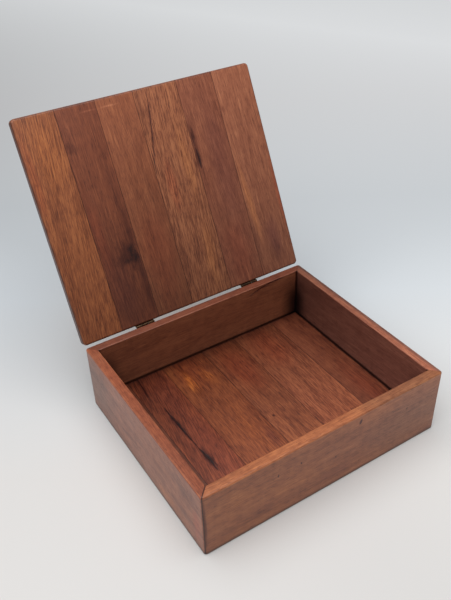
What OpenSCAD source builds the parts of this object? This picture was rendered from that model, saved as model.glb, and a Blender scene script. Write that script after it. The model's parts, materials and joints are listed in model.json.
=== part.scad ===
// Wooden keepsake box with a hinged lid, standing open, in millimetres.
// Four mitred walls hold a floating floor of edge-glued boards in a groove.
// The lid is a panel of edge-glued boards on two brass hinges behind the box.
// Front is -Y, up is +Z, and the surface the box stands on is z = 0.
// The origin lies on that surface, halfway along the depth of the open box.

/* [Box] */
// Width of the box, side to side
box_w = 322; // [240:1:400]
// Depth of the box, front to back
box_d = 271; // [200:1:340]
// Height of the box without its lid
box_h = 90; // [60:1:150]
// Thickness of the four walls
wall_t = 12; // [10:0.5:16]
// Rounding of the walls' outer edges, along the top and the bottom
edge_r = 2; // [0.5:0.25:3]
// Rounding of the four upright corners
corner_r = 2.5; // [0.5:0.25:5]
// Rounding of the walls' inner edges
rim_r = 0.9; // [0.3:0.1:2]

/* [Floor] */
// Height of the floor's top face above the surface the box stands on
floor_top = 21; // [18:0.5:30]
// Thickness of the floor's boards
floor_t = 12; // [9:0.5:14]
// Thickness of the tongue along the floor's edges
tongue_t = 6; // [3:0.5:7]
// Depth of the groove in the walls
groove_depth = 5; // [3:0.5:6]
// Free height of the groove above the tongue
tongue_rise = 0.2; // [0.1:0.05:0.5]
// Free space behind the tongue, where the wood can swell
tongue_play = 0.9; // [0.3:0.1:1.5]
// Open gap between the floor's top face and the walls
floor_gap = 1.5; // [0.5:0.25:3]

/* [Lid] */
// Thickness of the lid
lid_t = 12; // [10:0.5:18]
// How far the closed lid stands past the front wall, as a lip for the fingers
lid_lip = 5; // [0:0.5:12]
// Rounding of the lid's four corners, seen from above
lid_corner_r = 5; // [3:0.5:12]
// Rounding of the lid's long edges
lid_edge_r = 2.5; // [0.5:0.25:3]
// Clearance between the closed lid and the walls' rim
lid_gap = 0.3; // [0.1:0.1:1]
// How far the lid stands open, from its closed place
open_angle = 116; // [90:1:120]

/* [Hinges] */
// Length of a hinge along its pin
hinge_l = 25.4; // [20:0.1:40]
// Distance between the two hinges, centre to centre
hinge_spacing = 157; // [90:1:200]
// Reach of a leaf, from the pin's centre to its free edge
leaf_reach = 9.2; // [8.3:0.1:9.6]
// Thickness of a leaf
leaf_t = 0.8; // [0.75:0.05:1.2]
// Rounding of a leaf's free corners
leaf_corner_r = 0.8; // [0.2:0.1:1.5]
// Outer diameter of the barrel
barrel_d = 2.3; // [2:0.1:3]
// Diameter of the pin
pin_d = 1.2; // [0.9:0.1:1.4]
// Diameter of the pin's two heads
pin_head_d = 1.8; // [1.6:0.1:2]
// Thickness of a pin head
pin_head_t = 0.4; // [0.2:0.1:1]
// Radial clearance of the pin in the barrel
pin_clearance = 0.05; // [0.02:0.01:0.1]
// Gap between two knuckles, and between a knuckle and the other leaf
knuckle_gap = 0.3; // [0.2:0.05:0.6]
// Gap between the barrel and the wood
barrel_gap = 0.15; // [0.1:0.05:0.4]
// Reach of the stop tab, from the pin's centre to its free edge
stop_reach = 4.5; // [3.5:0.1:6.5]
// Gap left under the stop tab when it bears on the box's leaf
stop_gap = 0.3; // [0.1:0.05:0.5]

/* [Screws] */
// Distance between the two screws of a leaf
screw_spacing = 16; // [12:0.5:17]
// Distance from the pin's centre to the screws
screw_reach = 5.6; // [4.8:0.1:6.4]
// Diameter of a screw's head
screw_head_d = 3.4; // [3:0.1:3.8]
// Diameter of a screw's shank
screw_d = 1.9; // [1.6:0.1:2.2]
// Length of a screw, head included
screw_l = 9.5; // [7:0.5:10.5]
// Length of a screw's point
screw_point_l = 2; // [1:0.5:3]
// Width of the slot in a screw's head
slot_w = 0.5; // [0.3:0.1:0.8]
// Depth of the slot in a screw's head
slot_depth = 0.4; // [0.2:0.1:0.6]
// Clearance around a screw in its hole
screw_clearance = 0.05; // [0.02:0.01:0.1]

/* [Hidden] */

// Fine enough for the rounded edges and the hinges alike
$fn = 48;

// Each panel's boards share its width in these parts, from the left
lid_board_parts = [52, 51, 50, 60, 52, 57];
floor_board_parts = [30, 50, 60.5, 50, 62.5, 45];

// Inner width and depth of the box, between its walls
inner_w = box_w - 2 * wall_t;
inner_d = box_d - 2 * wall_t;
floor_bottom = floor_top - floor_t;

// The tongue stops short of the groove's bottom by the play
tongue_w = inner_w + 2 * (groove_depth - tongue_play);
tongue_d = inner_d + 2 * (groove_depth - tongue_play);

// The closed lid is flush with the box at the sides and the back
lid_w = box_w;
lid_l = box_d + lid_lip;
lid_bottom = box_h + lid_gap;

// The pin runs behind the box, in the middle of the gap under the lid
barrel_r = barrel_d / 2;
pin_back = barrel_r + barrel_gap;
pin_y = box_d / 2 + pin_back;
pin_z = box_h + lid_gap / 2;

// The screws' heads are cones of 90 degrees, flush with the leaf
screw_r = screw_d / 2;
screw_head_r = screw_head_d / 2;
screw_head_t = screw_head_r - screw_r;

// Overshoot of a cutter past the face it cuts
cut = 1;

// The stop tab's thickness is the leaf's, and its knuckle is the middle one of three
knuckle_count = 3;
knuckle_pitch = hinge_l / knuckle_count;
middle_l = knuckle_pitch - knuckle_gap;
outer_l = knuckle_pitch - knuckle_gap / 2;

// The open lid leans back past upright, and its far edge is the rearmost point
lean = open_angle - 90;
lid_far = lid_l + pin_back - lid_edge_r;
lid_high = lid_t + lid_gap / 2 - lid_edge_r;
rear_y = pin_y + lid_far * sin(lean) + lid_high * cos(lean) + lid_edge_r;
origin_y = (rear_y - box_d / 2) / 2;

// Wood and brass, as the photograph shows them
front_wood = "#7d4226";
side_wood = "#8a5238";
back_wood = "#6b3820";
brass = "#b08a45";
floor_woods = ["#5a2717", "#7a3a20", "#8a4826", "#743a20", "#7c4022", "#86482a"];
lid_woods = ["#a4582b", "#7c3c20", "#854424", "#8f5228", "#6f3320", "#8c4425"];

// A rectangle with rounded corners, around the origin
module rounded_rectangle(w, h, r) {
    square([w - 2 * r, h], center = true);
    square([w, h - 2 * r], center = true);
    for (x = [-1, 1], y = [-1, 1])
        translate([x * (w / 2 - r), y * (h / 2 - r)]) circle(r);
}

// Lays a drawing of the XZ plane along Y, centred
module along_y(length)
    rotate([90, 0, 0]) linear_extrude(length, center = true) children();

// Lays a drawing of the YZ plane along X, centred
module along_x(length)
    rotate([90, 0, 90]) linear_extrude(length, center = true) children();

// A slab standing on z = 0, with round corners in plan and rounded edges
module rounded_slab(w, d, h, plan_r, r) {
    corner = max(plan_r, r);
    translate([0, 0, h / 2]) {
        along_x(w - 2 * corner) rounded_rectangle(d, h, r);
        along_y(d - 2 * corner) rounded_rectangle(w, h, r);
        for (x = [-1, 1], y = [-1, 1])
            translate([x * (w / 2 - corner), y * (d / 2 - corner), 0])
                rounded_post(corner, h, r);
    }
}

// A round post of one corner, with the slab's rounded edges
module rounded_post(corner, h, r)
    rotate_extrude()
        intersection() {
            rounded_rectangle(2 * corner, h, r);
            translate([0, -h / 2]) square([corner, h]);
        }

// What a round-over takes off an edge that runs along X, below and in front of it
module round_over(length, r)
    along_x(length)
        difference() {
            translate([-r, -r]) square(r + cut);
            translate([-r, -r]) circle(r);
        }

// One side of a mitred wall's outline, with the mitres at 45 degrees
module mitre_outline(run, across) {
    outer = across / 2 + cut;
    inner = across / 2 - wall_t;
    half_outer = run / 2 + cut;
    half_inner = run / 2 - wall_t;
    polygon([
        [-half_outer, -outer],
        [half_outer, -outer],
        [half_inner, -inner],
        [-half_inner, -inner],
    ]);
}

// A wall along X whose outer face looks to -Y, for a box of these two sizes
module wall(run, across) {
    inner = across / 2 - wall_t;
    difference() {
        intersection() {
            rounded_slab(run, across, box_h, corner_r, edge_r);
            linear_extrude(box_h) mitre_outline(run, across);
        }
        translate([0, -inner, box_h]) round_over(run, rim_r);
        translate([0, -inner, 0]) mirror([0, 0, 1]) round_over(run, rim_r);
        translate([0, 0, floor_bottom]) groove(run, across);
    }
}

// The groove for the floor's tongue, as deep in every wall
module groove(run, across) {
    w = run - 2 * (wall_t - groove_depth);
    d = across - 2 * (wall_t - groove_depth);
    h = tongue_t + tongue_rise;
    translate([-w / 2, -d / 2, 0]) cube([w, d, h]);
}

// Moves a piece of the box from the box's centre to the origin of the open box
module in_box()
    translate([0, -origin_y, 0]) children();

// Moves a piece of the closed lid with the lid to its open place
module in_lid()
    in_box()
        translate([0, pin_y, pin_z])
            rotate([-open_angle, 0, 0])
                translate([0, -pin_y, -pin_z]) children();

module front_wall()
    color(front_wood) in_box() wall(box_w, box_d);

module back_wall()
    color(back_wood) in_box()
        difference() {
            rotate(180) wall(box_w, box_d);
            for (side = [-1, 1]) at_hinge(side) screw_holes(-1);
        }

module left_wall()
    color(side_wood) in_box() rotate(-90) wall(box_d, box_w);

module right_wall()
    color(side_wood) in_box() rotate(90) wall(box_d, box_w);

// Sum of a list's first values
function first_sum(values, count) = count == 0 ? 0 : values[count - 1] + first_sum(values, count - 1);

// Where a joint lies across a panel, counted from the panel's left edge
function joint_x(parts, index, w) =
    w * (first_sum(parts, index) / first_sum(parts, len(parts)) - 0.5);

// The stretch of a panel that one of its boards takes, as a tall block
module board_block(parts, index, w, overhang) {
    first = index == 1;
    last = index == len(parts);
    x0 = joint_x(parts, index - 1, w) - (first ? overhang : 0);
    x1 = joint_x(parts, index, w) + (last ? overhang : 0);
    translate([x0, -box_d, -cut]) cube([x1 - x0, 2 * box_d + lid_l, box_h + lid_t]);
}

// The whole floor: a thick field and the tongue around it
module floor_panel() {
    field_w = inner_w - 2 * floor_gap;
    field_d = inner_d - 2 * floor_gap;
    translate([-field_w / 2, -field_d / 2, floor_bottom]) cube([field_w, field_d, floor_t]);
    translate([-tongue_w / 2, -tongue_d / 2, floor_bottom]) cube([tongue_w, tongue_d, tongue_t]);
}

module floor_board(index)
    color(floor_woods[index - 1]) in_box()
        intersection() {
            floor_panel();
            board_block(floor_board_parts, index, inner_w, wall_t);
        }

// The whole lid, closed
module lid_panel()
    translate([0, (box_d - lid_l) / 2, lid_bottom])
        rounded_slab(lid_w, lid_l, lid_t, lid_corner_r, lid_edge_r);

module lid_board(index)
    color(lid_woods[index - 1]) in_lid()
        difference() {
            intersection() {
                lid_panel();
                translate([0, 0, lid_bottom]) board_block(lid_board_parts, index, lid_w, cut);
            }
            for (side = [-1, 1]) at_hinge(side) screw_holes(1);
        }

// Moves a hinge's piece from the pin's centre to the closed box's left or right hinge
module at_hinge(side)
    translate([side * hinge_spacing / 2, pin_y, pin_z]) children();

// Moves a screw's piece to both screws of the box's leaf (-1) or the lid's leaf (1)
module at_screws(leaf)
    for (side = [-1, 1])
        translate([side * screw_spacing / 2, leaf_t - pin_back, leaf * screw_reach])
            rotate([90, 0, 0]) children();

// The holes of a leaf's two screws, through the leaf and into the wood
module screw_holes(leaf)
    at_screws(leaf) {
        hole_r = screw_r + screw_clearance;
        seat_r = screw_head_r + screw_clearance;
        cylinder(h = screw_l + screw_clearance, r = hole_r);
        cylinder(h = screw_head_t, r1 = seat_r, r2 = hole_r);
        translate([0, 0, -cut]) cylinder(h = cut, r = seat_r);
    }

// A slotted wood screw whose head lies at z = 0 and whose point is at screw_l
module screw()
    difference() {
        union() {
            cylinder(h = screw_head_t, r1 = screw_head_r, r2 = screw_r);
            cylinder(h = screw_l - screw_point_l, r = screw_r);
            translate([0, 0, screw_l - screw_point_l])
                cylinder(h = screw_point_l, r1 = screw_r, r2 = screw_r / 6);
        }
        translate([-screw_head_r, -slot_w / 2, -cut])
            cube([2 * screw_head_r, slot_w, cut + slot_depth]);
    }

// A leaf's flat plate, up or down from the pin, with the gap for the other's knuckles
module leaf_plate(gaps)
    translate([0, leaf_t / 2 - pin_back, 0])
        along_y(leaf_t)
            difference() {
                union() {
                    translate([0, leaf_reach / 2])
                        rounded_rectangle(hinge_l, leaf_reach, leaf_corner_r);
                    translate([-hinge_l / 2, 0]) square([hinge_l, leaf_reach / 2]);
                }
                for (gap = gaps)
                    translate([gap[0], -cut])
                        square([gap[1] - gap[0], cut + barrel_r + knuckle_gap]);
            }

// A length of the barrel, with its bore left to the leaf
module knuckle(x0, length)
    translate([x0, 0, 0]) rotate([0, 90, 0]) cylinder(h = length, r = barrel_r);

// The bore through the whole barrel
module pin_bore()
    translate([-hinge_l / 2 - cut, 0, 0])
        rotate([0, 90, 0]) cylinder(h = hinge_l + 2 * cut, r = pin_d / 2 + pin_clearance);

// The leaf on the back wall, with the two outer knuckles
module box_leaf(side)
    color(brass) in_box() at_hinge(side)
        difference() {
            union() {
                mirror([0, 0, 1]) leaf_plate([[-middle_l / 2 - knuckle_gap, middle_l / 2 + knuckle_gap]]);
                knuckle(-hinge_l / 2, outer_l);
                knuckle(hinge_l / 2 - outer_l, outer_l);
            }
            pin_bore();
            screw_holes(-1);
        }

// The leaf on the lid's back edge, with the middle knuckle and the stop tab
module lid_leaf(side)
    color(brass) in_lid() at_hinge(side)
        difference() {
            union() {
                leaf_plate([
                    [-hinge_l / 2 - cut, -middle_l / 2],
                    [middle_l / 2, hinge_l / 2 + cut],
                ]);
                knuckle(-middle_l / 2, middle_l);
                rotate([open_angle, 0, 0]) stop_tab();
            }
            pin_bore();
            screw_holes(1);
        }

// The tab as it lies with the lid open, along the outer face of the box's leaf
module stop_tab()
    translate([-middle_l / 2, leaf_t - pin_back + stop_gap, -stop_reach])
        cube([middle_l, leaf_t, stop_reach]);

// The pin, with a flat head on each end that keeps it in the barrel
module hinge_pin(side)
    color(brass) in_box() at_hinge(side)
        rotate([0, 90, 0]) {
            cylinder(h = hinge_l, r = pin_d / 2, center = true);
            for (end = [-1, 1])
                translate([0, 0, end * (hinge_l + pin_head_t) / 2])
                    cylinder(h = pin_head_t, r = pin_head_d / 2, center = true);
        }

module box_screws(side)
    color(brass) in_box() at_hinge(side) at_screws(-1) screw();

module lid_screws(side)
    color(brass) in_lid() at_hinge(side) at_screws(1) screw();

front_wall();
back_wall();
left_wall();
right_wall();
floor_board(1);  // floor_board_1
floor_board(2);  // floor_board_2
floor_board(3);  // floor_board_3
floor_board(4);  // floor_board_4
floor_board(5);  // floor_board_5
floor_board(6);  // floor_board_6
lid_board(1);  // lid_board_1
lid_board(2);  // lid_board_2
lid_board(3);  // lid_board_3
lid_board(4);  // lid_board_4
lid_board(5);  // lid_board_5
lid_board(6);  // lid_board_6
box_leaf(-1);  // left_hinge_box_leaf
lid_leaf(-1);  // left_hinge_lid_leaf
hinge_pin(-1);  // left_hinge_pin
box_screws(-1);  // left_hinge_box_screws
lid_screws(-1);  // left_hinge_lid_screws
box_leaf(1);  // right_hinge_box_leaf
lid_leaf(1);  // right_hinge_lid_leaf
hinge_pin(1);  // right_hinge_pin
box_screws(1);  // right_hinge_box_screws
lid_screws(1);  // right_hinge_lid_screws
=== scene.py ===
"""Wooden keepsake box with a hinged lid, standing open.

Four mitred walls hold a floor of six glued boards in a groove. The lid is a panel of six glued
boards on two small brass hinges behind the back wall. Every board is solid wood with a grain of
its own, so the pattern on a face runs on over the edges and ends as end grain.

Positions and lengths are metres. Sizes written in millimetres are multiplied by MM, and the
sizes of a finish are millimetres until its material is made.
"""

from __future__ import annotations

import json
import logging
import math
from abc import ABC, abstractmethod
from collections.abc import Iterable, Mapping, Sequence
from dataclasses import dataclass, field
from enum import Enum
from typing import ClassVar

import bmesh
import bpy
from mathutils import Matrix, Vector


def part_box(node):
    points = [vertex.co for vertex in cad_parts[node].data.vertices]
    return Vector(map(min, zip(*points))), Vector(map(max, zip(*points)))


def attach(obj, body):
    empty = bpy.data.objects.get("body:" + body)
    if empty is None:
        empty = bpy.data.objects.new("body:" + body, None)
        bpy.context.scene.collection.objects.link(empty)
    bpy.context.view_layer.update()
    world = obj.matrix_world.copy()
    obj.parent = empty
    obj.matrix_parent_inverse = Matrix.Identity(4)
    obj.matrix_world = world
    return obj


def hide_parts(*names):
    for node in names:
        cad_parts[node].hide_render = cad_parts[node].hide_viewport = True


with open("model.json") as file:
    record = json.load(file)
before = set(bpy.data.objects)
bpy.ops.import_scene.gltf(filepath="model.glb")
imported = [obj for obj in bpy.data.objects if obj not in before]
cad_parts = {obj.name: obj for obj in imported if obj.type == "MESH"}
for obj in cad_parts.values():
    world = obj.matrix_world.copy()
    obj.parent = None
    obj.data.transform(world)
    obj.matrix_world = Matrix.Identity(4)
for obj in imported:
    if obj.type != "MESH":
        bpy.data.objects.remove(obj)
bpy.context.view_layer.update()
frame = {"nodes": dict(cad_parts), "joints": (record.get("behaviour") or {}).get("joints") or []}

MM = 0.001
LOG = logging.getLogger("keepsake_box")

Colour = tuple[float, float, float]
Point2 = tuple[float, float]
Point3 = tuple[float, float, float]
Rows = Sequence[Sequence[bmesh.types.BMVert]]

WHITE: Colour = (1.0, 1.0, 1.0)
BLACK: Colour = (0.0, 0.0, 0.0)
ORIGIN: Point3 = (0.0, 0.0, 0.0)
HALF = 0.5
SQUARE = math.radians(90)
MITRE = math.radians(45)
# Detail of the smoothest noise
PLAIN = 1.0


class Body(Enum):
    """The two bodies that the hinges join."""

    BOX = "box"
    LID = "lid"


class Side(Enum):
    """Left or right of the box, seen from the front. The value points along X."""

    LEFT = -1
    RIGHT = 1


class WallName(Enum):
    """The four walls, each with the direction its outer face looks to."""

    FRONT = (0.0, -1.0, 0.0)
    BACK = (0.0, 1.0, 0.0)
    LEFT = (-1.0, 0.0, 0.0)
    RIGHT = (1.0, 0.0, 0.0)


class Mark(Enum):
    """Kinds of patch in a board. The value multiplies the wood's colour at full strength."""

    SMUDGE = (0.43, 0.32, 0.32)
    KNOT = (0.24, 0.1, 0.07)
    SHADE = (0.66, 0.6, 0.62)
    PURPLE = (0.74, 0.68, 0.86)
    GOLD = (1.42, 1.46, 1.12)
    PALE = (1.28, 1.34, 1.36)
    RED = (1.1, 0.82, 0.78)
    SCUFF = (1.5, 1.75, 2.0)
    AMBER = (1.75, 2.0, 1.5)
    PIN = (0.2, 0.04, 0.01)
    GREY = (0.84, 1.02, 1.15)
    WARM = (0.98, 0.94, 0.84)


# Multipliers for the wood's colour at the bottom of a crack, in a pore and under dust
CRACK_TINT: Colour = (0.27, 0.04, 0.02)
PORE_TINT: Colour = (0.42, 0.34, 0.34)
DUST_TINT: Colour = (0.22, 0.18, 0.2)


@dataclass(frozen=True)
class Place:
    """Where a board lies: its centre, the direction of its grain and the direction across it."""

    centre: Vector
    along: Vector
    across: Vector

    @property
    def out(self) -> Vector:
        """The direction out of the board's face."""
        return self.along.cross(self.across)

    def matrix(self) -> Matrix:
        """From the board's own directions to the frame.

        Returns:
            A 4x4 matrix with the three directions as its columns.
        """
        turn = Matrix((self.along, self.across, self.out)).transposed()
        return Matrix.Translation(self.centre) @ turn.to_4x4()


@dataclass(frozen=True)
class Patch:
    """A patch in a board, placed from the board's centre in millimetres."""

    mark: Mark
    along: float
    across: float
    length: float
    width: float
    strength: float = 1.0
    depth: float = 60.0
    out: float = 0.0
    turn: float = 0.0
    softness: float = 0.8
    ragged: float = 0.35


@dataclass(frozen=True)
class Check:
    """A crack that runs with the grain, placed from the board's centre in millimetres."""

    start: float
    end: float
    across: float
    drift: float = 0.0
    bow: float = 0.0
    width: float = 0.8
    ragged: float = 0.8
    strength: float = 1.0


@dataclass(frozen=True)
class WoodFinish:
    """The look of one board: its colours, its figure and its marks.

    Colours are linear. Lengths are millimetres and angles degrees. The fade multiplies the colour
    at the start and at the end of the grain.
    """

    body: Colour
    seed: float
    deep: Colour = (0.5, 0.42, 0.42)
    bright: Colour = (1.42, 1.6, 1.55)
    slant: float = 0.0
    wave: float = 2.0
    wave_length: float = 140.0
    pith_across: float = 20.0
    pith_depth: float = -60.0
    pith_tilt: float = 0.04
    ring_width: float = 3.2
    rings: float = 0.14
    streaks: float = 1.0
    pores: float = 0.8
    shimmer: float = 0.5
    roughness: float = 0.42
    fade: tuple[float, float] = (1.0, 1.0)
    patches: tuple[Patch, ...] = ()
    checks: tuple[Check, ...] = ()

    def shade(self, factor: Colour) -> tuple[float, float, float, float]:
        """The body colour times a factor, with an alpha of 1."""
        return (*(a * b for a, b in zip(self.body, factor)), 1.0)


@dataclass(frozen=True)
class BrassFinish:
    """The look of the hinges' aged brass."""

    metal: Colour = (0.125, 0.076, 0.044)
    tarnish: Colour = (0.034, 0.021, 0.015)
    roughness: float = 0.32
    scratch_height: float = 0.004


LID_WOODS: tuple[WoodFinish, ...] = (
    WoodFinish(
        body=(0.237, 0.068, 0.023), seed=1.0, fade=(1.16, 0.86), slant=4.0, ring_width=4.0,
        streaks=1.5, shimmer=0.35,
        patches=(
            Patch(Mark.GOLD, -90, 4, 60, 26, 0.45), Patch(Mark.RED, -70, -20, 70, 8, 0.5),
            Patch(Mark.SHADE, 105, -14, 70, 18, 0.4),
        ),
    ),
    WoodFinish(
        body=(0.16, 0.041, 0.0172), seed=2.0, fade=(1.24, 0.74), slant=-1.0, wave=3.0, streaks=0.95,
        shimmer=0.4,
        patches=(
            Patch(Mark.SMUDGE, -91, -19, 12, 9, 0.6, ragged=0.6), Patch(Mark.SHADE, 46, 2, 60, 30, 0.5),
            Patch(Mark.SMUDGE, 30, 20, 32, 8, 0.55, turn=6, ragged=0.6),
            Patch(Mark.SMUDGE, 50, 14, 26, 20, 0.9, ragged=1.0),
            Patch(Mark.SMUDGE, 54, 18, 15, 10, 0.8, ragged=1.2),
            Patch(Mark.KNOT, 46, 15, 7, 4.5, 0.8, ragged=1.2),
            Patch(Mark.KNOT, 55, 20.5, 11, 4.5, 0.8, ragged=1.2),
            Patch(Mark.KNOT, 57, 7, 4, 7, 0.6, ragged=1.3), Patch(Mark.SHADE, -10, 18, 70, 8, 0.35),
            Patch(Mark.SMUDGE, 96, 22, 48, 7, 0.85), Patch(Mark.SHADE, 108, 2, 44, 32, 0.6),
            Patch(Mark.PURPLE, 90, -8, 70, 24, 0.6), Patch(Mark.RED, 20, -18, 60, 10, 0.5),
            Patch(Mark.SCUFF, -127, 15, 1.6, 14, 0.9, depth=8, out=6, ragged=0.6),
        ),
    ),
    WoodFinish(
        body=(0.206, 0.061, 0.026), seed=3.0, fade=(1.42, 0.6), slant=-1.5, streaks=0.9, shimmer=0.28,
        patches=(
            Patch(Mark.RED, 70, 0, 90, 30, 0.5), Patch(Mark.SHADE, -14, 14, 40, 10, 0.3, turn=-6),
            Patch(Mark.SCUFF, -127, -8, 1.6, 16, 0.9, depth=8, out=6, ragged=0.6),
        ),
    ),
    WoodFinish(
        body=(0.241, 0.078, 0.035), seed=4.0, fade=(1.29, 0.75), slant=2.6, wave=4.0, streaks=1.7,
        ring_width=4.0, pith_across=34.0, pores=1.0, shimmer=0.35,
        patches=(
            Patch(Mark.GOLD, -40, 16, 60, 10, 0.45), Patch(Mark.GOLD, 84, 14, 62, 12, 0.5, turn=4),
            Patch(Mark.PALE, 96, 2, 44, 1.6, 0.8, turn=9), Patch(Mark.PALE, 84, 9, 52, 1.4, 0.8, turn=7),
            Patch(Mark.PALE, 60, 17, 44, 1.5, 0.7, turn=5),
            Patch(Mark.PALE, 104, 17, 32, 1.3, 0.7, turn=4), Patch(Mark.SHADE, -104, -25, 40, 8, 0.6),
            Patch(Mark.SHADE, 92, -22, 46, 10, 0.65), Patch(Mark.RED, -16, -12, 44, 10, 0.6),
        ),
        checks=(
            Check(-132, -44, -12.0, drift=-16, bow=1.5, width=1.3, ragged=1.0),
            Check(-60, -30, -27.0, drift=-2.0, bow=0.5, width=1.1, ragged=0.8, strength=0.8),
        ),
    ),
    WoodFinish(
        body=(0.225, 0.069, 0.035), seed=5.0, fade=(1.22, 0.77), slant=-3.0, streaks=0.9, shimmer=0.28,
        patches=(
            Patch(Mark.PURPLE, -20, 10, 130, 25, 0.55), Patch(Mark.SHADE, -84, -20, 34, 8, 0.5),
            Patch(Mark.RED, 96, 0, 60, 26, 0.5),
            Patch(Mark.SMUDGE, -50, -22.6, 40, 4.2, 0.75, softness=0.8, ragged=0.8),
            Patch(Mark.SMUDGE, -36, -22.0, 13, 3.0, 0.9, softness=0.7, ragged=0.9),
            Patch(Mark.SMUDGE, -68, -21.6, 10, 3.0, 0.75, softness=0.7, ragged=0.9),
            Patch(Mark.SMUDGE, -18, -20.6, 13, 1.8, 0.6, turn=10, softness=0.7, ragged=0.8),
            Patch(Mark.SCUFF, -24, -19.5, 12, 0.9, 0.4, turn=9, softness=0.6),
        ),
        checks=(
            Check(-52, -24, -23.2, drift=0.8, bow=0.4, width=2.6, ragged=2.4, strength=0.8),
            Check(-72, -56, -23.8, width=1.8, ragged=1.6, strength=0.7),
        ),
    ),
    WoodFinish(
        body=(0.276, 0.092, 0.047), seed=6.0, fade=(1.28, 0.72), slant=-2.0, streaks=0.8, shimmer=0.26,
        patches=(
            Patch(Mark.GOLD, 34, -21, 82, 7, 0.7, turn=-4),
            Patch(Mark.PALE, -2, -24, 44, 2.0, 0.7, turn=-2),
            Patch(Mark.PALE, 62, -19, 50, 1.6, 0.7, turn=-6), Patch(Mark.SHADE, 92, -26, 50, 4, 0.7),
            Patch(Mark.SMUDGE, -88, -24, 7, 4, 0.55), Patch(Mark.PURPLE, 92, 2, 40, 15, 0.8),
            Patch(Mark.SHADE, 110, 0, 26, 12, 0.5), Patch(Mark.RED, 40, 25, 70, 4, 0.8),
        ),
    ),
)

FLOOR_WOODS: tuple[WoodFinish, ...] = (
    WoodFinish(body=(0.14, 0.037, 0.018), seed=11.0, fade=(0.8, 1.16), streaks=0.9),
    WoodFinish(
        body=(0.2, 0.043, 0.0165), seed=12.0, fade=(0.62, 1.5), slant=9.0, streaks=1.6, wave=4.0,
        shimmer=0.6,
        patches=(
            Patch(Mark.PURPLE, 20, 5, 110, 24, 0.7), Patch(Mark.PURPLE, -84, 6, 60, 30, 0.7),
            Patch(Mark.SHADE, -70, -14, 60, 14, 0.7), Patch(Mark.SHADE, 20, -16, 60, 9, 0.6),
            Patch(Mark.SHADE, -124, 0, 22, 70, 1.0), Patch(Mark.SMUDGE, -126, 0, 9, 90, 0.6),
            Patch(Mark.SMUDGE, -20, -6, 36, 6, 0.8, ragged=0.9),
            Patch(Mark.SMUDGE, 42, -4.5, 22, 6.5, 0.9, ragged=1.0),
            Patch(Mark.KNOT, 46, -4, 11, 2.2, 0.7, ragged=1.0),
        ),
        checks=(
            Check(-58, 10, -7.2, drift=1.2, bow=-0.4, width=3.0, ragged=2.6),
            Check(-40, -12, -5.6, drift=-1.0, width=1.6, ragged=2.4, strength=0.8),
            Check(-4, 36, -6.2, drift=1.4, bow=-0.4, width=1.5, ragged=2.0, strength=0.85),
            Check(22, 64, -5.2, drift=0.8, bow=0.6, width=2.9, ragged=3.4, strength=0.9),
            Check(34, 58, -2.4, drift=1.2, width=1.6, ragged=2.6, strength=0.8),
            Check(-124, -84, -11.5, drift=-3.5, bow=0.4, width=2.4, ragged=1.8, strength=0.9),
        ),
    ),
    WoodFinish(
        body=(0.191, 0.046, 0.016), seed=13.0, fade=(0.62, 1.42), slant=0.5, streaks=1.6,
        ring_width=6.0, pores=0.8, shimmer=0.6,
        patches=(
            Patch(Mark.SHADE, -124, 0, 22, 70, 0.9), Patch(Mark.SMUDGE, -126, 0, 9, 90, 0.55),
            Patch(Mark.RED, -100, 0, 50, 34, 0.5),
            Patch(Mark.GOLD, -78, -12, 38, 11, 1.0, turn=3, ragged=0.5),
            Patch(Mark.AMBER, -80, -14, 28, 6, 0.12, turn=3, ragged=0.8),
            Patch(Mark.AMBER, -74, -16, 24, 1.8, 0.6, turn=3, ragged=0.4),
            Patch(Mark.AMBER, -84, -12, 22, 2.4, 0.6, turn=2, ragged=0.4),
            Patch(Mark.AMBER, -70, -9, 22, 1.6, 0.6, turn=2, ragged=0.4),
            Patch(Mark.AMBER, -92, -9, 14, 1.6, 0.7, turn=4, ragged=0.4),
            Patch(Mark.GOLD, -76, 12, 28, 11, 0.7, turn=-6, ragged=0.6),
            Patch(Mark.AMBER, -80, 10, 16, 1.2, 0.6, turn=-14, ragged=0.4),
            Patch(Mark.AMBER, -78, 16, 18, 1.2, 0.6, turn=-18, ragged=0.4),
            Patch(Mark.GOLD, 30, 6, 60, 12, 0.3), Patch(Mark.PURPLE, 56, 20, 24, 7, 0.9),
        ),
    ),
    WoodFinish(
        body=(0.203, 0.0545, 0.0217), seed=14.0, fade=(0.5, 1.48), slant=-0.5, streaks=1.4, shimmer=0.7,
        patches=(
            Patch(Mark.SHADE, -124, 0, 22, 70, 0.9), Patch(Mark.SMUDGE, -126, 0, 9, 90, 0.55),
            Patch(Mark.KNOT, 28, -14.5, 3.0, 2.2, 1.0, softness=0.6, ragged=0.15),
            Patch(Mark.SHADE, 54, 4, 34, 15, 0.35), Patch(Mark.RED, -70, 0, 76, 34, 1.0),
        ),
    ),
    WoodFinish(
        body=(0.218, 0.058, 0.025), seed=15.0, fade=(0.49, 1.48), slant=1.4, streaks=1.6, shimmer=0.6,
        patches=(
            Patch(Mark.SHADE, -124, 0, 22, 70, 0.9), Patch(Mark.SMUDGE, -126, 0, 9, 90, 0.55),
            Patch(Mark.PALE, -20, 8, 60, 4, 0.7), Patch(Mark.PALE, 30, -18, 60, 3, 0.5),
            Patch(Mark.SHADE, -60, 27, 54, 4, 0.9), Patch(Mark.SHADE, -20, -4, 40, 3, 0.5),
            Patch(Mark.RED, -80, 0, 60, 34, 0.75),
        ),
    ),
    WoodFinish(
        body=(0.152, 0.039, 0.018), seed=16.0, fade=(0.82, 1.18), slant=-0.8, streaks=1.2, shimmer=0.6,
        patches=(
            Patch(Mark.SHADE, -124, 0, 20, 70, 0.8), Patch(Mark.SMUDGE, -126, 0, 9, 90, 0.55),
            Patch(Mark.RED, 50, 0, 70, 20, 0.6),
        ),
    ),
)

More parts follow.
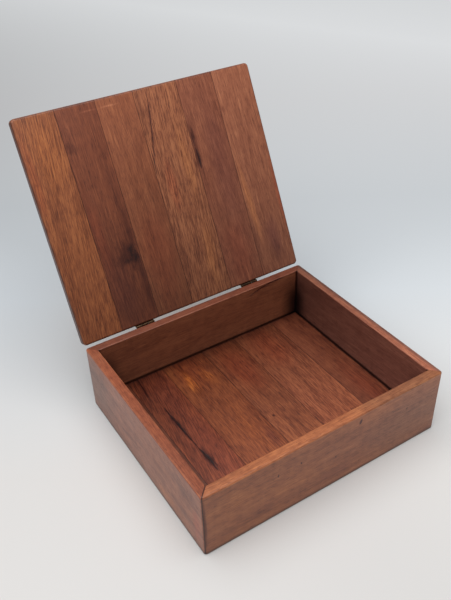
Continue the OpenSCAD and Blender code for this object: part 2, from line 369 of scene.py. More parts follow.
WALL_WOODS: dict[WallName, WoodFinish] = {
    WallName.FRONT: WoodFinish(
        body=(0.291, 0.0925, 0.0378), seed=21.0, fade=(0.93, 1.22), wave=4.0, wave_length=90.0,
        streaks=0.6, shimmer=0.75,
        patches=(
            Patch(Mark.PIN, 39.75, 34.25, 4.8, 2.4, 1.0, 7.0, 6.0, -74, 0.5, 0.15),
            Patch(Mark.PIN, -69.5, 18.5, 2.8, 1.3, 0.95, 7.0, 6.0, -80, 0.5, 0.15),
            Patch(Mark.PIN, -40, 19.25, 2.4, 1.4, 0.9, 7.0, 6.0, -110, 0.5, 0.15),
            Patch(Mark.PIN, 109.75, 15.5, 2.2, 1.3, 0.8, 7.0, 6.0, -80, 0.5, 0.15),
            Patch(Mark.PIN, 7.75, -0.75, 2.6, 1.0, 0.8, 7.0, 6.0, -90, 0.5, 0.15),
            Patch(Mark.PURPLE, 110, 0, 110, 60, 0.5), Patch(Mark.WARM, -95, 0, 100, 70, 1.0),
            Patch(Mark.SHADE, 4, 0, 70, 70, 0.22), Patch(Mark.GREY, 118, -6, 100, 60, 0.75),
            Patch(Mark.SMUDGE, -159.0, -2, 3.0, 50, 1.0, softness=0.7),
            Patch(Mark.SHADE, 110, 45, 100, 3.0, 0.6, softness=0.6),
            Patch(Mark.GREY, 110, 45, 90, 4.0, 0.8, softness=0.6),
            Patch(Mark.PURPLE, 10, -26, 30, 14, 0.6), Patch(Mark.PURPLE, -88, -20, 18, 16, 0.45),
            Patch(Mark.GOLD, -122, 14, 50, 24, 0.2), Patch(Mark.GOLD, -40, -6, 34, 18, 0.2),
            Patch(Mark.PALE, 82, 30, 16, 5, 0.5, turn=20, ragged=0.7),
            Patch(Mark.PALE, 66, 6, 12, 4, 0.35, turn=50, ragged=0.7),
            Patch(Mark.SHADE, -110, 30, 30, 4, 0.3, ragged=0.8),
        ),
    ),
    WallName.BACK: WoodFinish(
        body=(0.21, 0.069, 0.033), seed=22.0, slant=-0.6, streaks=0.7,
        patches=(
            Patch(Mark.SMUDGE, -94, 40.5, 22, 2.2, 0.55, turn=-9, out=-6, ragged=0.5),
        ),
        checks=(Check(-126, -70, 43.0, drift=-8.5, bow=3.2, width=2.0, ragged=1.0),),
    ),
    WallName.LEFT: WoodFinish(
        body=(0.3, 0.107, 0.06), seed=23.0, wave=4.0, streaks=0.65, shimmer=0.75,
        patches=(
            Patch(Mark.SHADE, 98, 16, 34, 20, 0.8, ragged=1.2),
            Patch(Mark.SHADE, 112, 24, 16, 10, 0.7, ragged=1.4),
            Patch(Mark.SHADE, 92, -16, 20, 8, 0.5, ragged=1.2),
            Patch(Mark.SHADE, -32, -14, 34, 5, 0.8, turn=-8, ragged=0.9),
            Patch(Mark.RED, 122, -10, 10, 34, 1.0), Patch(Mark.GREY, -116, 0, 60, 60, 1.0),
            Patch(Mark.GREY, -134, -6, 12, 50, 0.8), Patch(Mark.GOLD, 60, -30, 50, 9, 0.35),
            Patch(Mark.PALE, -60, 26, 60, 14, 0.35), Patch(Mark.WARM, 90, 0, 80, 60, 0.5),
        ),
    ),
    WallName.RIGHT: WoodFinish(
        body=(0.248, 0.102, 0.065), seed=24.0, fade=(1.4, 0.61), slant=0.6, streaks=0.7,
    ),
}


class Wire:
    """An output socket that takes part in sums. Each sum adds a Math or a Vector Math node."""

    def __init__(self, graph: Graph, socket: bpy.types.NodeSocket) -> None:
        """Take a socket of the graph's tree."""
        self.graph = graph
        self.socket = socket

    def __add__(self, other: Input) -> Wire:
        """The sum."""
        return self.graph.math("ADD", self, other)

    def __sub__(self, other: Input) -> Wire:
        """The difference."""
        return self.graph.math("SUBTRACT", self, other)

    def __rsub__(self, other: Input) -> Wire:
        """The difference from a plain value."""
        return self.graph.math("SUBTRACT", other, self)

    def __mul__(self, other: Input) -> Wire:
        """The product."""
        return self.graph.math("MULTIPLY", self, other)

    def __truediv__(self, other: Input) -> Wire:
        """The quotient."""
        return self.graph.math("DIVIDE", self, other)

    def __abs__(self) -> Wire:
        """The value without its sign."""
        return self.graph.math("ABSOLUTE", self)

    __radd__ = __add__

    def parts(self) -> tuple[Wire, ...]:
        """The X, Y and Z of a vector."""
        return tuple(self.graph.outs("ShaderNodeSeparateXYZ", {0: self}).values())

    def swing(self, size: Input) -> Wire:
        """A 0 to 1 value moved to lie around zero, times a size."""
        return (self - HALF) * size

    def ramp(self, low: Input, high: Input) -> Wire:
        """A smooth step from 0 at low to 1 at high."""
        inputs = {"Value": self, "From Min": low, "From Max": high}
        return self.graph.out("ShaderNodeMapRange", inputs, interpolation_type="SMOOTHSTEP")

    def line(self, low: Input, high: Input, start: Input = 0.0, end: Input = 1.0) -> Wire:
        """A straight rise from start at low to end at high, level outside them."""
        inputs = {"Value": self, "From Min": low, "From Max": high, "To Min": start, "To Max": end}
        return self.graph.out("ShaderNodeMapRange", inputs)

    def tint(self, factor: Input, tint: Colour) -> Wire:
        """This colour, multiplied by a tint where the factor is 1."""
        return self.graph.mix(factor, self, (*tint, 1.0), blend="MULTIPLY")


Input = float | tuple[float, ...] | Vector | Wire
Wires = dict[str, Wire]


class Graph:
    """Adds nodes to a node tree and joins them."""

    NUMBERS: ClassVar[frozenset[str]] = frozenset({"LENGTH", "DOT_PRODUCT"})
    VECTORS: ClassVar[frozenset[str]] = frozenset({"VECTOR", "RGBA"})
    MIX_FACTOR: ClassVar[int] = 0
    MIX_A: ClassVar[int] = 6
    MIX_B: ClassVar[int] = 7
    MIX_RESULT: ClassVar[int] = 2

    def __init__(self, tree: bpy.types.NodeTree) -> None:
        """Start on a shader or geometry node tree."""
        self.tree = tree

    def feed(self, socket: bpy.types.NodeSocket, value: Input) -> None:
        """Join an input socket to a wire, or set its value.

        Args:
            socket: The input socket.
            value: A wire, a number, a vector or a colour.
        """
        if isinstance(value, Wire):
            self.tree.links.new(value.socket, socket)
        else:
            socket.default_value = value

    def add(
        self, kind: str, inputs: Mapping[str | int, Input] | None = None, **settings: object
    ) -> bpy.types.Node:
        """Add a node.

        Args:
            kind: Blender's name of the node's class.
            inputs: Values or wires for its inputs, by name or by number.
            settings: The node's own settings.

        Returns:
            The new node.
        """
        node = self.tree.nodes.new(kind)
        for name, value in settings.items():
            setattr(node, name, value)
        for key, value in (inputs or {}).items():
            self.feed(node.inputs[key], value)
        return node

    def outs(self, kind: str, inputs: Mapping[str | int, Input] | None = None, **settings: object) -> Wires:
        """Add a node and take all its outputs, by name."""
        return {out.name: Wire(self, out) for out in self.add(kind, inputs, **settings).outputs}

    def out(
        self, kind: str, inputs: Mapping[str | int, Input], output: str | int = 0, **settings: object
    ) -> Wire:
        """Add a node and take one of its outputs."""
        return Wire(self, self.add(kind, inputs, **settings).outputs[output])

    @classmethod
    def is_vector(cls, value: Input) -> bool:
        """Whether a value is a vector or a colour."""
        if isinstance(value, Wire):
            return value.socket.type in cls.VECTORS
        return isinstance(value, (Vector, tuple))

    def math(self, operation: str, *values: Input, clamp: bool = False) -> Wire:
        """Add a Math node, or a Vector Math node where one of the values is a vector or a colour.

        Args:
            operation: The node's operation. A vector times a number is scaled by it.
            values: Its inputs, in order.
            clamp: Whether a number stays between 0 and 1.

        Returns:
            The result.
        """
        vectors = [self.is_vector(value) for value in values]
        inputs = dict(enumerate(values))
        if not any(vectors):
            return self.out("ShaderNodeMath", inputs, operation=operation, use_clamp=clamp)
        if operation == "MULTIPLY" and not all(vectors):
            vector, size = values if vectors[0] else reversed(values)
            return self.out("ShaderNodeVectorMath", {0: vector, "Scale": size}, operation="SCALE")
        output = "Value" if operation in self.NUMBERS else "Vector"
        return self.out("ShaderNodeVectorMath", inputs, output, operation=operation)

    def join(self, x: Input, y: Input, z: Input) -> Wire:
        """A vector from three numbers."""
        return self.out("ShaderNodeCombineXYZ", {0: x, 1: y, 2: z})

    def turned(self, vector: Input, angle: Input, centre: Input = ORIGIN) -> Wire:
        """A vector turned about an upright axis through a centre."""
        inputs = {"Vector": vector, "Center": centre, "Angle": angle}
        return self.out("ShaderNodeVectorRotate", inputs, rotation_type="Z_AXIS")

    def noise(self, vector: Input, detail: float = 2.0, rough: float = HALF) -> Wire:
        """Smooth noise from 0 to 1, read in units of its own cells."""
        inputs = {"Vector": vector, "Scale": 1.0, "Detail": detail, "Roughness": rough}
        return self.out("ShaderNodeTexNoise", inputs)

    def mix(self, factor: Input, a: Input, b: Input, blend: str = "MIX") -> Wire:
        """Mix two colours: the factor is the share of b."""
        inputs = {self.MIX_FACTOR: factor, self.MIX_A: a, self.MIX_B: b}
        return self.out("ShaderNodeMix", inputs, self.MIX_RESULT, data_type="RGBA", blend_type=blend)


class Coat:
    """A material in the making."""

    def __init__(self, name: str) -> None:
        """Start a material and its graph.

        Args:
            name: The material's name.
        """
        self.material = bpy.data.materials.new(name)
        self.material.use_nodes = True
        self.graph = Graph(self.material.node_tree)
        self.where = self.graph.outs("ShaderNodeTexCoord")["Object"]

    def close(self, values: Mapping[str, Input]) -> bpy.types.Material:
        """Feed the shader.

        Args:
            values: Values or wires for the shader's inputs, by name.

        Returns:
            The finished material.
        """
        shader = self.graph.tree.nodes["Principled BSDF"]
        for name, value in values.items():
            self.graph.feed(shader.inputs[name], value)
        return self.material

    def bump(self, height: Wire, strength: float = 1.0) -> Wire:
        """The surface's direction, from its height in millimetres."""
        inputs = {"Height": height, "Strength": strength, "Distance": MM}
        return self.graph.out("ShaderNodeBump", inputs)


class Effect(ABC):
    """A shader node group that more than one finish uses. It is built once.

    INPUTS holds each input's default: a number, a vector of three parts or a colour of four.
    OUTPUTS names the results, which are numbers, except for a colour in Color.
    """

    TITLE: ClassVar[str]
    INPUTS: ClassVar[dict[str, float | tuple[float, ...]]]
    OUTPUTS: ClassVar[tuple[str, ...]]

    NUMBER: ClassVar[str] = "NodeSocketFloat"
    VECTOR: ClassVar[str] = "NodeSocketVector"
    COLOUR: ClassVar[str] = "NodeSocketColor"

    @classmethod
    @abstractmethod
    def wire(cls, graph: Graph, given: Wires) -> Wires:
        """Lay the group's nodes.

        Args:
            graph: The group's tree.
            given: Its inputs, by name.

        Returns:
            Its outputs, by name.
        """

    @classmethod
    def tree(cls) -> bpy.types.NodeTree:
        """The group's tree, built on the first call.

        Returns:
            The shader node tree.
        """
        known = bpy.data.node_groups.get(cls.TITLE)
        if known is not None:
            return known
        tree = bpy.data.node_groups.new(cls.TITLE, "ShaderNodeTree")
        kinds = {3: cls.VECTOR, 4: cls.COLOUR}
        for name, value in cls.INPUTS.items():
            kind = kinds[len(value)] if isinstance(value, tuple) else cls.NUMBER
            tree.interface.new_socket(name=name, in_out="INPUT", socket_type=kind).default_value = value
        for name in cls.OUTPUTS:
            kind = cls.COLOUR if name == "Color" else cls.NUMBER
            tree.interface.new_socket(name=name, in_out="OUTPUT", socket_type=kind)
        graph = Graph(tree)
        graph.add("NodeGroupOutput", cls.wire(graph, graph.outs("NodeGroupInput")))
        return tree

    @classmethod
    def place(cls, graph: Graph, inputs: Mapping[str, Input]) -> Wires:
        """Put the group into another tree, with values or wires for its inputs."""
        return graph.outs("ShaderNodeGroup", inputs, node_tree=cls.tree())


class GrowthRings(Effect):
    """Growth rings around a pith that lies beside the board and may lean away along it."""

    TITLE = "Growth rings"
    INPUTS = {
        "Vector": ORIGIN, "Shifted": ORIGIN, "Pith Across": 0.02, "Pith Depth": -0.06, "Pith Tilt": 0.04,
        "Ring Width": 0.0032,
    }
    OUTPUTS = ("Latewood", "Year")

    WOBBLE_CELLS: ClassVar[Vector] = Vector((5.0, 45.0, 45.0))
    WOBBLE: ClassVar[float] = 0.006
    UNEVEN_RATE: ClassVar[float] = 0.43
    UNEVEN: ClassVar[float] = 1.5
    YEAR_RATE: ClassVar[float] = 0.9
    LATE_START: ClassVar[float] = 0.35
    LATE_FULL: ClassVar[float] = 0.86

    @classmethod
    def wire(cls, graph: Graph, given: Wires) -> Wires:
        """Lay the group's nodes.

        Args:
            graph: The group's tree.
            given: Its inputs, by name.

        Returns:
            How much latewood there is, and how dark the year is.
        """
        x, y, z = given["Vector"].parts()
        away = z - given["Pith Depth"] - x * given["Pith Tilt"]
        radius = graph.math("LENGTH", graph.join(0.0, y - given["Pith Across"], away))
        radius = radius + graph.noise(given["Shifted"] * cls.WOBBLE_CELLS).swing(cls.WOBBLE)
        count = radius / given["Ring Width"]
        uneven = graph.noise(graph.join(count * cls.UNEVEN_RATE, 0.0, 0.0), PLAIN)
        count = count + uneven.swing(cls.UNEVEN)
        part = graph.math("FRACT", count)
        late = part.ramp(cls.LATE_START, cls.LATE_FULL) * part.ramp(1.0, cls.LATE_FULL)
        return {"Latewood": late, "Year": graph.noise(graph.join(count * cls.YEAR_RATE, HALF, HALF))}


class Streaks(Effect):
    """Colour streaks along the fibres at three widths, and short flecks."""

    TITLE = "Streaks"
    INPUTS = {"Vector": ORIGIN}
    OUTPUTS = ("Fine", "Middle", "Broad", "Fleck")

    FINE_CELLS: ClassVar[Vector] = Vector((62.0, 860.0, 860.0))
    MIDDLE_CELLS: ClassVar[Vector] = Vector((7.0, 240.0, 240.0))
    BROAD_CELLS: ClassVar[Vector] = Vector((3.0, 60.0, 60.0))
    FLECK_CELLS: ClassVar[Vector] = Vector((32.0, 640.0, 640.0))
    FLECK_SHIFT: ClassVar[Vector] = Vector((1.7, 0.9, 2.3))
    FLECK_LOW: ClassVar[float] = 0.54
    FLECK_HIGH: ClassVar[float] = 0.74
    DETAIL: ClassVar[float] = 5.0
    ROUGH: ClassVar[float] = 0.62

    @classmethod
    def wire(cls, graph: Graph, given: Wires) -> Wires:
        """Lay the group's nodes.

        Args:
            graph: The group's tree.
            given: Its inputs, by name.

        Returns:
            The streaks around one half, and a mask of the flecks.
        """
        here = given["Vector"]
        fleck = graph.noise((here + cls.FLECK_SHIFT) * cls.FLECK_CELLS)
        return {
            "Fine": graph.noise(here * cls.FINE_CELLS, cls.DETAIL, cls.ROUGH),
            "Middle": graph.noise(here * cls.MIDDLE_CELLS, cls.DETAIL, cls.ROUGH),
            "Broad": graph.noise(here * cls.BROAD_CELLS),
            "Fleck": fleck.ramp(cls.FLECK_LOW, cls.FLECK_HIGH),
        }


class Pores(Effect):
    """Short dark pores along the fibres, as dots on end grain."""

    TITLE = "Pores"
    INPUTS = {"Vector": ORIGIN, "Length": 0.008, "Width": 0.0008, "Share": 0.6}
    OUTPUTS = ("Mask",)

    CORE: ClassVar[float] = 0.14
    RIM: ClassVar[float] = 0.3

    @classmethod
    def wire(cls, graph: Graph, given: Wires) -> Wires:
        """Lay the group's nodes.

        Args:
            graph: The group's tree.
            given: Its inputs, by name.

        Returns:
            A mask of the pores.
        """
        x, y, z = given["Vector"].parts()
        cells = graph.join(x / given["Length"], y / given["Width"], z / given["Width"])
        spots = graph.outs("ShaderNodeTexVoronoi", {"Vector": cells, "Scale": 1.0})
        kept = graph.math("LESS_THAN", spots["Color"].parts()[0], given["Share"])
        return {"Mask": spots["Distance"].ramp(cls.RIM, cls.CORE) * kept}


class Shimmer(Effect):
    """Bands, ripples and mottling where interlocked fibres catch the light."""

    TITLE = "Shimmer"
    INPUTS = {"Vector": ORIGIN}
    OUTPUTS = ("Value",)

    BAND_CELLS: ClassVar[Vector] = Vector((6.0, 80.0, 20.0))
    RIPPLE_CELLS: ClassVar[Vector] = Vector((150.0, 60.0, 20.0))
    RIPPLE_SHARE: ClassVar[float] = 0.5
    MOTTLE_CELLS: ClassVar[Vector] = Vector((70.0, 190.0, 190.0))
    MOTTLE_TURN: ClassVar[float] = 0.45
    DETAIL: ClassVar[float] = 4.0
    ROUGH: ClassVar[float] = 0.65

    @classmethod
    def wire(cls, graph: Graph, given: Wires) -> Wires:
        """Lay the group's nodes.

        Args:
            graph: The group's tree.
            given: Its inputs, by name.

        Returns:
            The brightness around one half.
        """
        here = given["Vector"]
        ripple = graph.noise(here * cls.RIPPLE_CELLS, PLAIN)
        mottle = graph.noise(graph.turned(here, cls.MOTTLE_TURN) * cls.MOTTLE_CELLS, cls.DETAIL, cls.ROUGH)
        band = graph.noise(here * cls.BAND_CELLS, PLAIN)
        return {"Value": band + ripple.swing(cls.RIPPLE_SHARE) + mottle.swing(1.0)}


class SolidWood(Effect):
    """Bare wood of one board: its colour, its gloss and the height of its surface."""

    TITLE = "Solid wood"
    INPUTS = {
        "Vector": ORIGIN, "Deep": (0.1, 0.03, 0.02, 1.0), "Body": (0.3, 0.1, 0.05, 1.0),
        "Bright": (0.45, 0.16, 0.08, 1.0), "Slant": 0.0, "Wave": 0.002, "Wave Length": 0.14,
        "Pith Across": 0.02, "Pith Depth": -0.06, "Pith Tilt": 0.04, "Ring Width": 0.0032,
        "Rings": 0.35, "Streaks": 1.0, "Pores": 0.6, "Shimmer": 0.5, "Seed": 0.0,
    }
    OUTPUTS = ("Color", "Gloss", "Height")

    SEED_STEP: ClassVar[Vector] = Vector((3.17, 1.93, 7.31))
    SHIFT_STEP: ClassVar[Vector] = Vector((5.03, 0.37, 0.11))
    WAVE_WIDTH: ClassVar[float] = 0.35
    RING_INPUTS: ClassVar[tuple[str, ...]] = ("Pith Across", "Pith Depth", "Pith Tilt", "Ring Width")
    SHARES: ClassVar[dict[str, float]] = {"Fine": 2.2, "Middle": 0.42, "Broad": 0.32}
    FLECK_SHARE: ClassVar[float] = 0.5
    COARSE_PORES: ClassVar[dict[str, float]] = {"Length": 0.009, "Width": 0.0011, "Share": 0.5}
    FINE_PORES: ClassVar[dict[str, float]] = {"Length": 0.0045, "Width": 0.00045, "Share": 0.8}
    FIBRE_HEIGHT: ClassVar[float] = 0.03
    PORE_HEIGHT: ClassVar[float] = 0.05

    @classmethod
    def fibres(cls, graph: Graph, given: Wires) -> tuple[Wire, Wire]:
        """Turn board coordinates so that they follow the slanted, waving fibres.

        Args:
            graph: The group's tree.
            given: Its inputs, by name.

        Returns:
            The turned coordinates, and the same shifted by the seed.
        """
        seed, length = given["Seed"], given["Wave Length"]
        x, y, z = given["Vector"].parts()
        width = length * cls.WAVE_WIDTH
        spot = graph.join(x / length, y / width, z / width) + seed * cls.SEED_STEP
        sway = graph.noise(spot, PLAIN).swing(given["Wave"])
        turned = graph.join(x, y + x * given["Slant"] + sway, z + sway)
        return turned, turned + seed * cls.SHIFT_STEP

    @classmethod
    def wire(cls, graph: Graph, given: Wires) -> Wires:
        """Lay the group's nodes.

        Args:
            graph: The group's tree.
            given: Its inputs, by name.

        Returns:
            The colour, the gloss around one half and the height.
        """
        turned, shifted = cls.fibres(graph, given)
        pith = {name: given[name] for name in cls.RING_INPUTS}
        rings = GrowthRings.place(graph, {"Vector": turned, "Shifted": shifted, **pith})
        streaks = Streaks.place(graph, {"Vector": shifted})
        shimmer = Shimmer.place(graph, {"Vector": shifted})["Value"]
        coarse = Pores.place(graph, {"Vector": shifted, **cls.COARSE_PORES})["Mask"]
        fine = Pores.place(graph, {"Vector": shifted, **cls.FINE_PORES})["Mask"]

        tone = HALF + (rings["Year"].swing(given["Rings"]) - rings["Latewood"] * given["Rings"] * HALF)
        for name, share in cls.SHARES.items():
            tone = tone + streaks[name].swing(given["Streaks"] * share)
        tone = tone + streaks["Fleck"] * given["Streaks"] * cls.FLECK_SHARE
        tone = tone + shimmer.swing(given["Shimmer"])

        colour = graph.mix(tone.line(0.0, HALF), given["Deep"], given["Body"])
        colour = graph.mix(tone.line(HALF, 1.0), colour, given["Bright"])
        holes = graph.math("MAXIMUM", coarse, fine * HALF)
        return {
            "Color": colour.tint(holes * given["Pores"], PORE_TINT),
            "Gloss": streaks["Broad"] * HALF + holes * HALF,
            "Height": streaks["Fine"].swing(cls.FIBRE_HEIGHT) - holes * cls.PORE_HEIGHT,
        }


class Blot(Effect):
    """A soft oval patch with a ragged edge."""

    TITLE = "Blot"
    INPUTS = {
        "Vector": ORIGIN, "Centre": ORIGIN, "Size": (0.01, 0.01, 0.06), "Turn": 0.0, "Softness": 0.8,
        "Ragged": 0.35, "Seed": 0.0,
    }
    OUTPUTS = ("Mask",)

    RAGGED_CELLS: ClassVar[float] = 1.6
    DETAIL: ClassVar[float] = 3.0
    ROUGH: ClassVar[float] = 0.6

    @classmethod
    def wire(cls, graph: Graph, given: Wires) -> Wires:
        """Lay the group's nodes.

        Args:
            graph: The group's tree.
            given: Its inputs, by name.

        Returns:
            A mask of the patch.
        """
        centre, seed = given["Centre"], given["Seed"]
        spot = (graph.turned(given["Vector"], given["Turn"], centre) - centre) / given["Size"]
        cells = spot * cls.RAGGED_CELLS + graph.join(seed, seed, 0.0)
        edge = graph.noise(cells, cls.DETAIL, cls.ROUGH).swing(given["Ragged"] * 2.0)
        reach = graph.math("LENGTH", spot) + edge
        return {"Mask": reach.ramp(1.0, 1.0 - given["Softness"])}


class Crack(Effect):
    """A crack along the fibres that starts and ends as a point."""

    TITLE = "Crack"
    INPUTS = {
        "Vector": ORIGIN, "Start": 0.0, "End": 0.1, "Across": 0.0, "Drift": 0.0, "Bow": 0.0,
        "Width": 0.001, "Ragged": 0.001, "Seed": 0.0,
    }
    OUTPUTS = ("Mask", "Stain")

    PATH_CELLS: ClassVar[float] = 55.0
    WIDTH_CELLS: ClassVar[float] = 150.0
    EDGE_CELLS: ClassVar[float] = 420.0
    DETAIL: ClassVar[float] = 4.0
    ROUGH: ClassVar[float] = 0.65
    STAIN_WIDTH: ClassVar[float] = 4.0
    EDGE: ClassVar[float] = 0.5
    PINCH_FROM: ClassVar[tuple[float, float]] = (0.34, 0.66)
    PINCH_TO: ClassVar[tuple[float, float]] = (0.22, 0.88)

    @classmethod
    def wire(cls, graph: Graph, given: Wires) -> Wires:
        """Lay the group's nodes.

        Args:
            graph: The group's tree.
            given: Its inputs, by name.

        Returns:
            A mask of the crack and one of the stain beside it.
        """
        x, y, _ = given["Vector"].parts()
        share = graph.math("DIVIDE", x - given["Start"], given["End"] - given["Start"], clamp=True)
        swell = graph.math("SINE", share * math.pi)
        wander = graph.noise(graph.join(x * cls.PATH_CELLS, given["Seed"], 0.0), cls.DETAIL, cls.ROUGH)
        path = given["Across"] + share * given["Drift"] + swell * given["Bow"]
        off = abs(y - (path + wander.swing(given["Ragged"])))
        cells = graph.join(x * cls.WIDTH_CELLS, y * cls.EDGE_CELLS, given["Seed"])
        uneven = graph.noise(cells, cls.DETAIL, cls.ROUGH).line(*cls.PINCH_FROM, *cls.PINCH_TO)
        wide = graph.math("POWER", swell, HALF) * uneven * given["Width"]
        open_here = graph.math("GREATER_THAN", swell, 0.0)
        return {
            "Mask": off.ramp(wide, wide * cls.EDGE) * open_here,
            "Stain": off.ramp(wide * cls.STAIN_WIDTH, 0.0) * open_here,
        }


class EdgeWear(Effect):
    """Where a panel's edges are rubbed, from the distance to the nearest edge."""

    TITLE = "Edge wear"
    INPUTS = {"Vector": ORIGIN, "Half Size": (0.1, 0.1, 0.01), "Reach": 0.003, "Seed": 0.0}
    OUTPUTS = ("Mask",)

    BREAK_CELLS: ClassVar[float] = 90.0
    BREAK_SIZE: ClassVar[float] = 1.1
    DETAIL: ClassVar[float] = 3.0
    ROUGH: ClassVar[float] = 0.6

    @classmethod
    def wire(cls, graph: Graph, given: Wires) -> Wires:
        """Lay the group's nodes.

        Args:
            graph: The group's tree.
            given: Its inputs, by name.

        Returns:
            A mask of the rubbed edges.
        """
        x, y, z = (given["Half Size"] - abs(given["Vector"])).parts()
        xy, yz, zx = (graph.math("MAXIMUM", a, b) for a, b in ((x, y), (y, z), (z, x)))
        edge = graph.math("MINIMUM", graph.math("MINIMUM", xy, yz), zx)
        cells = given["Vector"] * cls.BREAK_CELLS + graph.join(given["Seed"], 0.0, 0.0)
        broken = graph.noise(cells, cls.DETAIL, cls.ROUGH).swing(cls.BREAK_SIZE)
        return {"Mask": (edge / given["Reach"] + broken).ramp(1.0, 0.0)}


class Seam(Effect):
    """The thin dark line of a glued joint, from the distance to it."""

    TITLE = "Seam"
    INPUTS = {"Vector": ORIGIN, "Distance": 1.0, "Width": 0.0004, "Seed": 0.0}
    OUTPUTS = ("Mask",)

    BREAK_CELLS: ClassVar[float] = 60.0
    DETAIL: ClassVar[float] = 3.0
    THIN: ClassVar[float] = 0.5

    @classmethod
    def wire(cls, graph: Graph, given: Wires) -> Wires:
        """Lay the group's nodes.

        Args:
            graph: The group's tree.
            given: Its inputs, by name.

        Returns:
            A mask of the line.
        """
        cells = given["Vector"] * cls.BREAK_CELLS + graph.join(given["Seed"], 0.0, 0.0)
        wide = given["Width"] * (graph.noise(cells, cls.DETAIL) + cls.THIN)
        return {"Mask": given["Distance"].ramp(wide, wide * HALF)}


class Handling(Effect):
    """Faint scratches and cloudy hand marks in the finish."""

    TITLE = "Handling"
    INPUTS = {"Vector": ORIGIN, "Seed": 0.0}
    OUTPUTS = ("Cloud", "Scratch")

    CLOUD_CELLS: ClassVar[float] = 18.0
    CLOUD_DETAIL: ClassVar[float] = 3.0
    SCRATCH_CELLS: ClassVar[Vector] = Vector((22.0, 900.0, 400.0))
    SCRATCH_TURN: ClassVar[float] = 0.9
    SCRATCH_LOW: ClassVar[float] = 0.7
    SCRATCH_HIGH: ClassVar[float] = 0.78

    @classmethod
    def wire(cls, graph: Graph, given: Wires) -> Wires:
        """Lay the group's nodes.

        Args:
            graph: The group's tree.
            given: Its inputs, by name.

        Returns:
            The clouds around one half and a mask of the scratches.
        """
        here, seed = given["Vector"], graph.join(given["Seed"], given["Seed"], 0.0)
        lines = graph.turned(here, cls.SCRATCH_TURN) * cls.SCRATCH_CELLS + seed
        return {
            "Cloud": graph.noise(here * cls.CLOUD_CELLS + seed, cls.CLOUD_DETAIL),
            "Scratch": graph.noise(lines, PLAIN).ramp(cls.SCRATCH_LOW, cls.SCRATCH_HIGH),
        }


class Joint(Enum):
    """How a board meets its neighbours."""

    GLUED = "boards glued edge to edge"
    MITRED = "walls mitred at the corners"


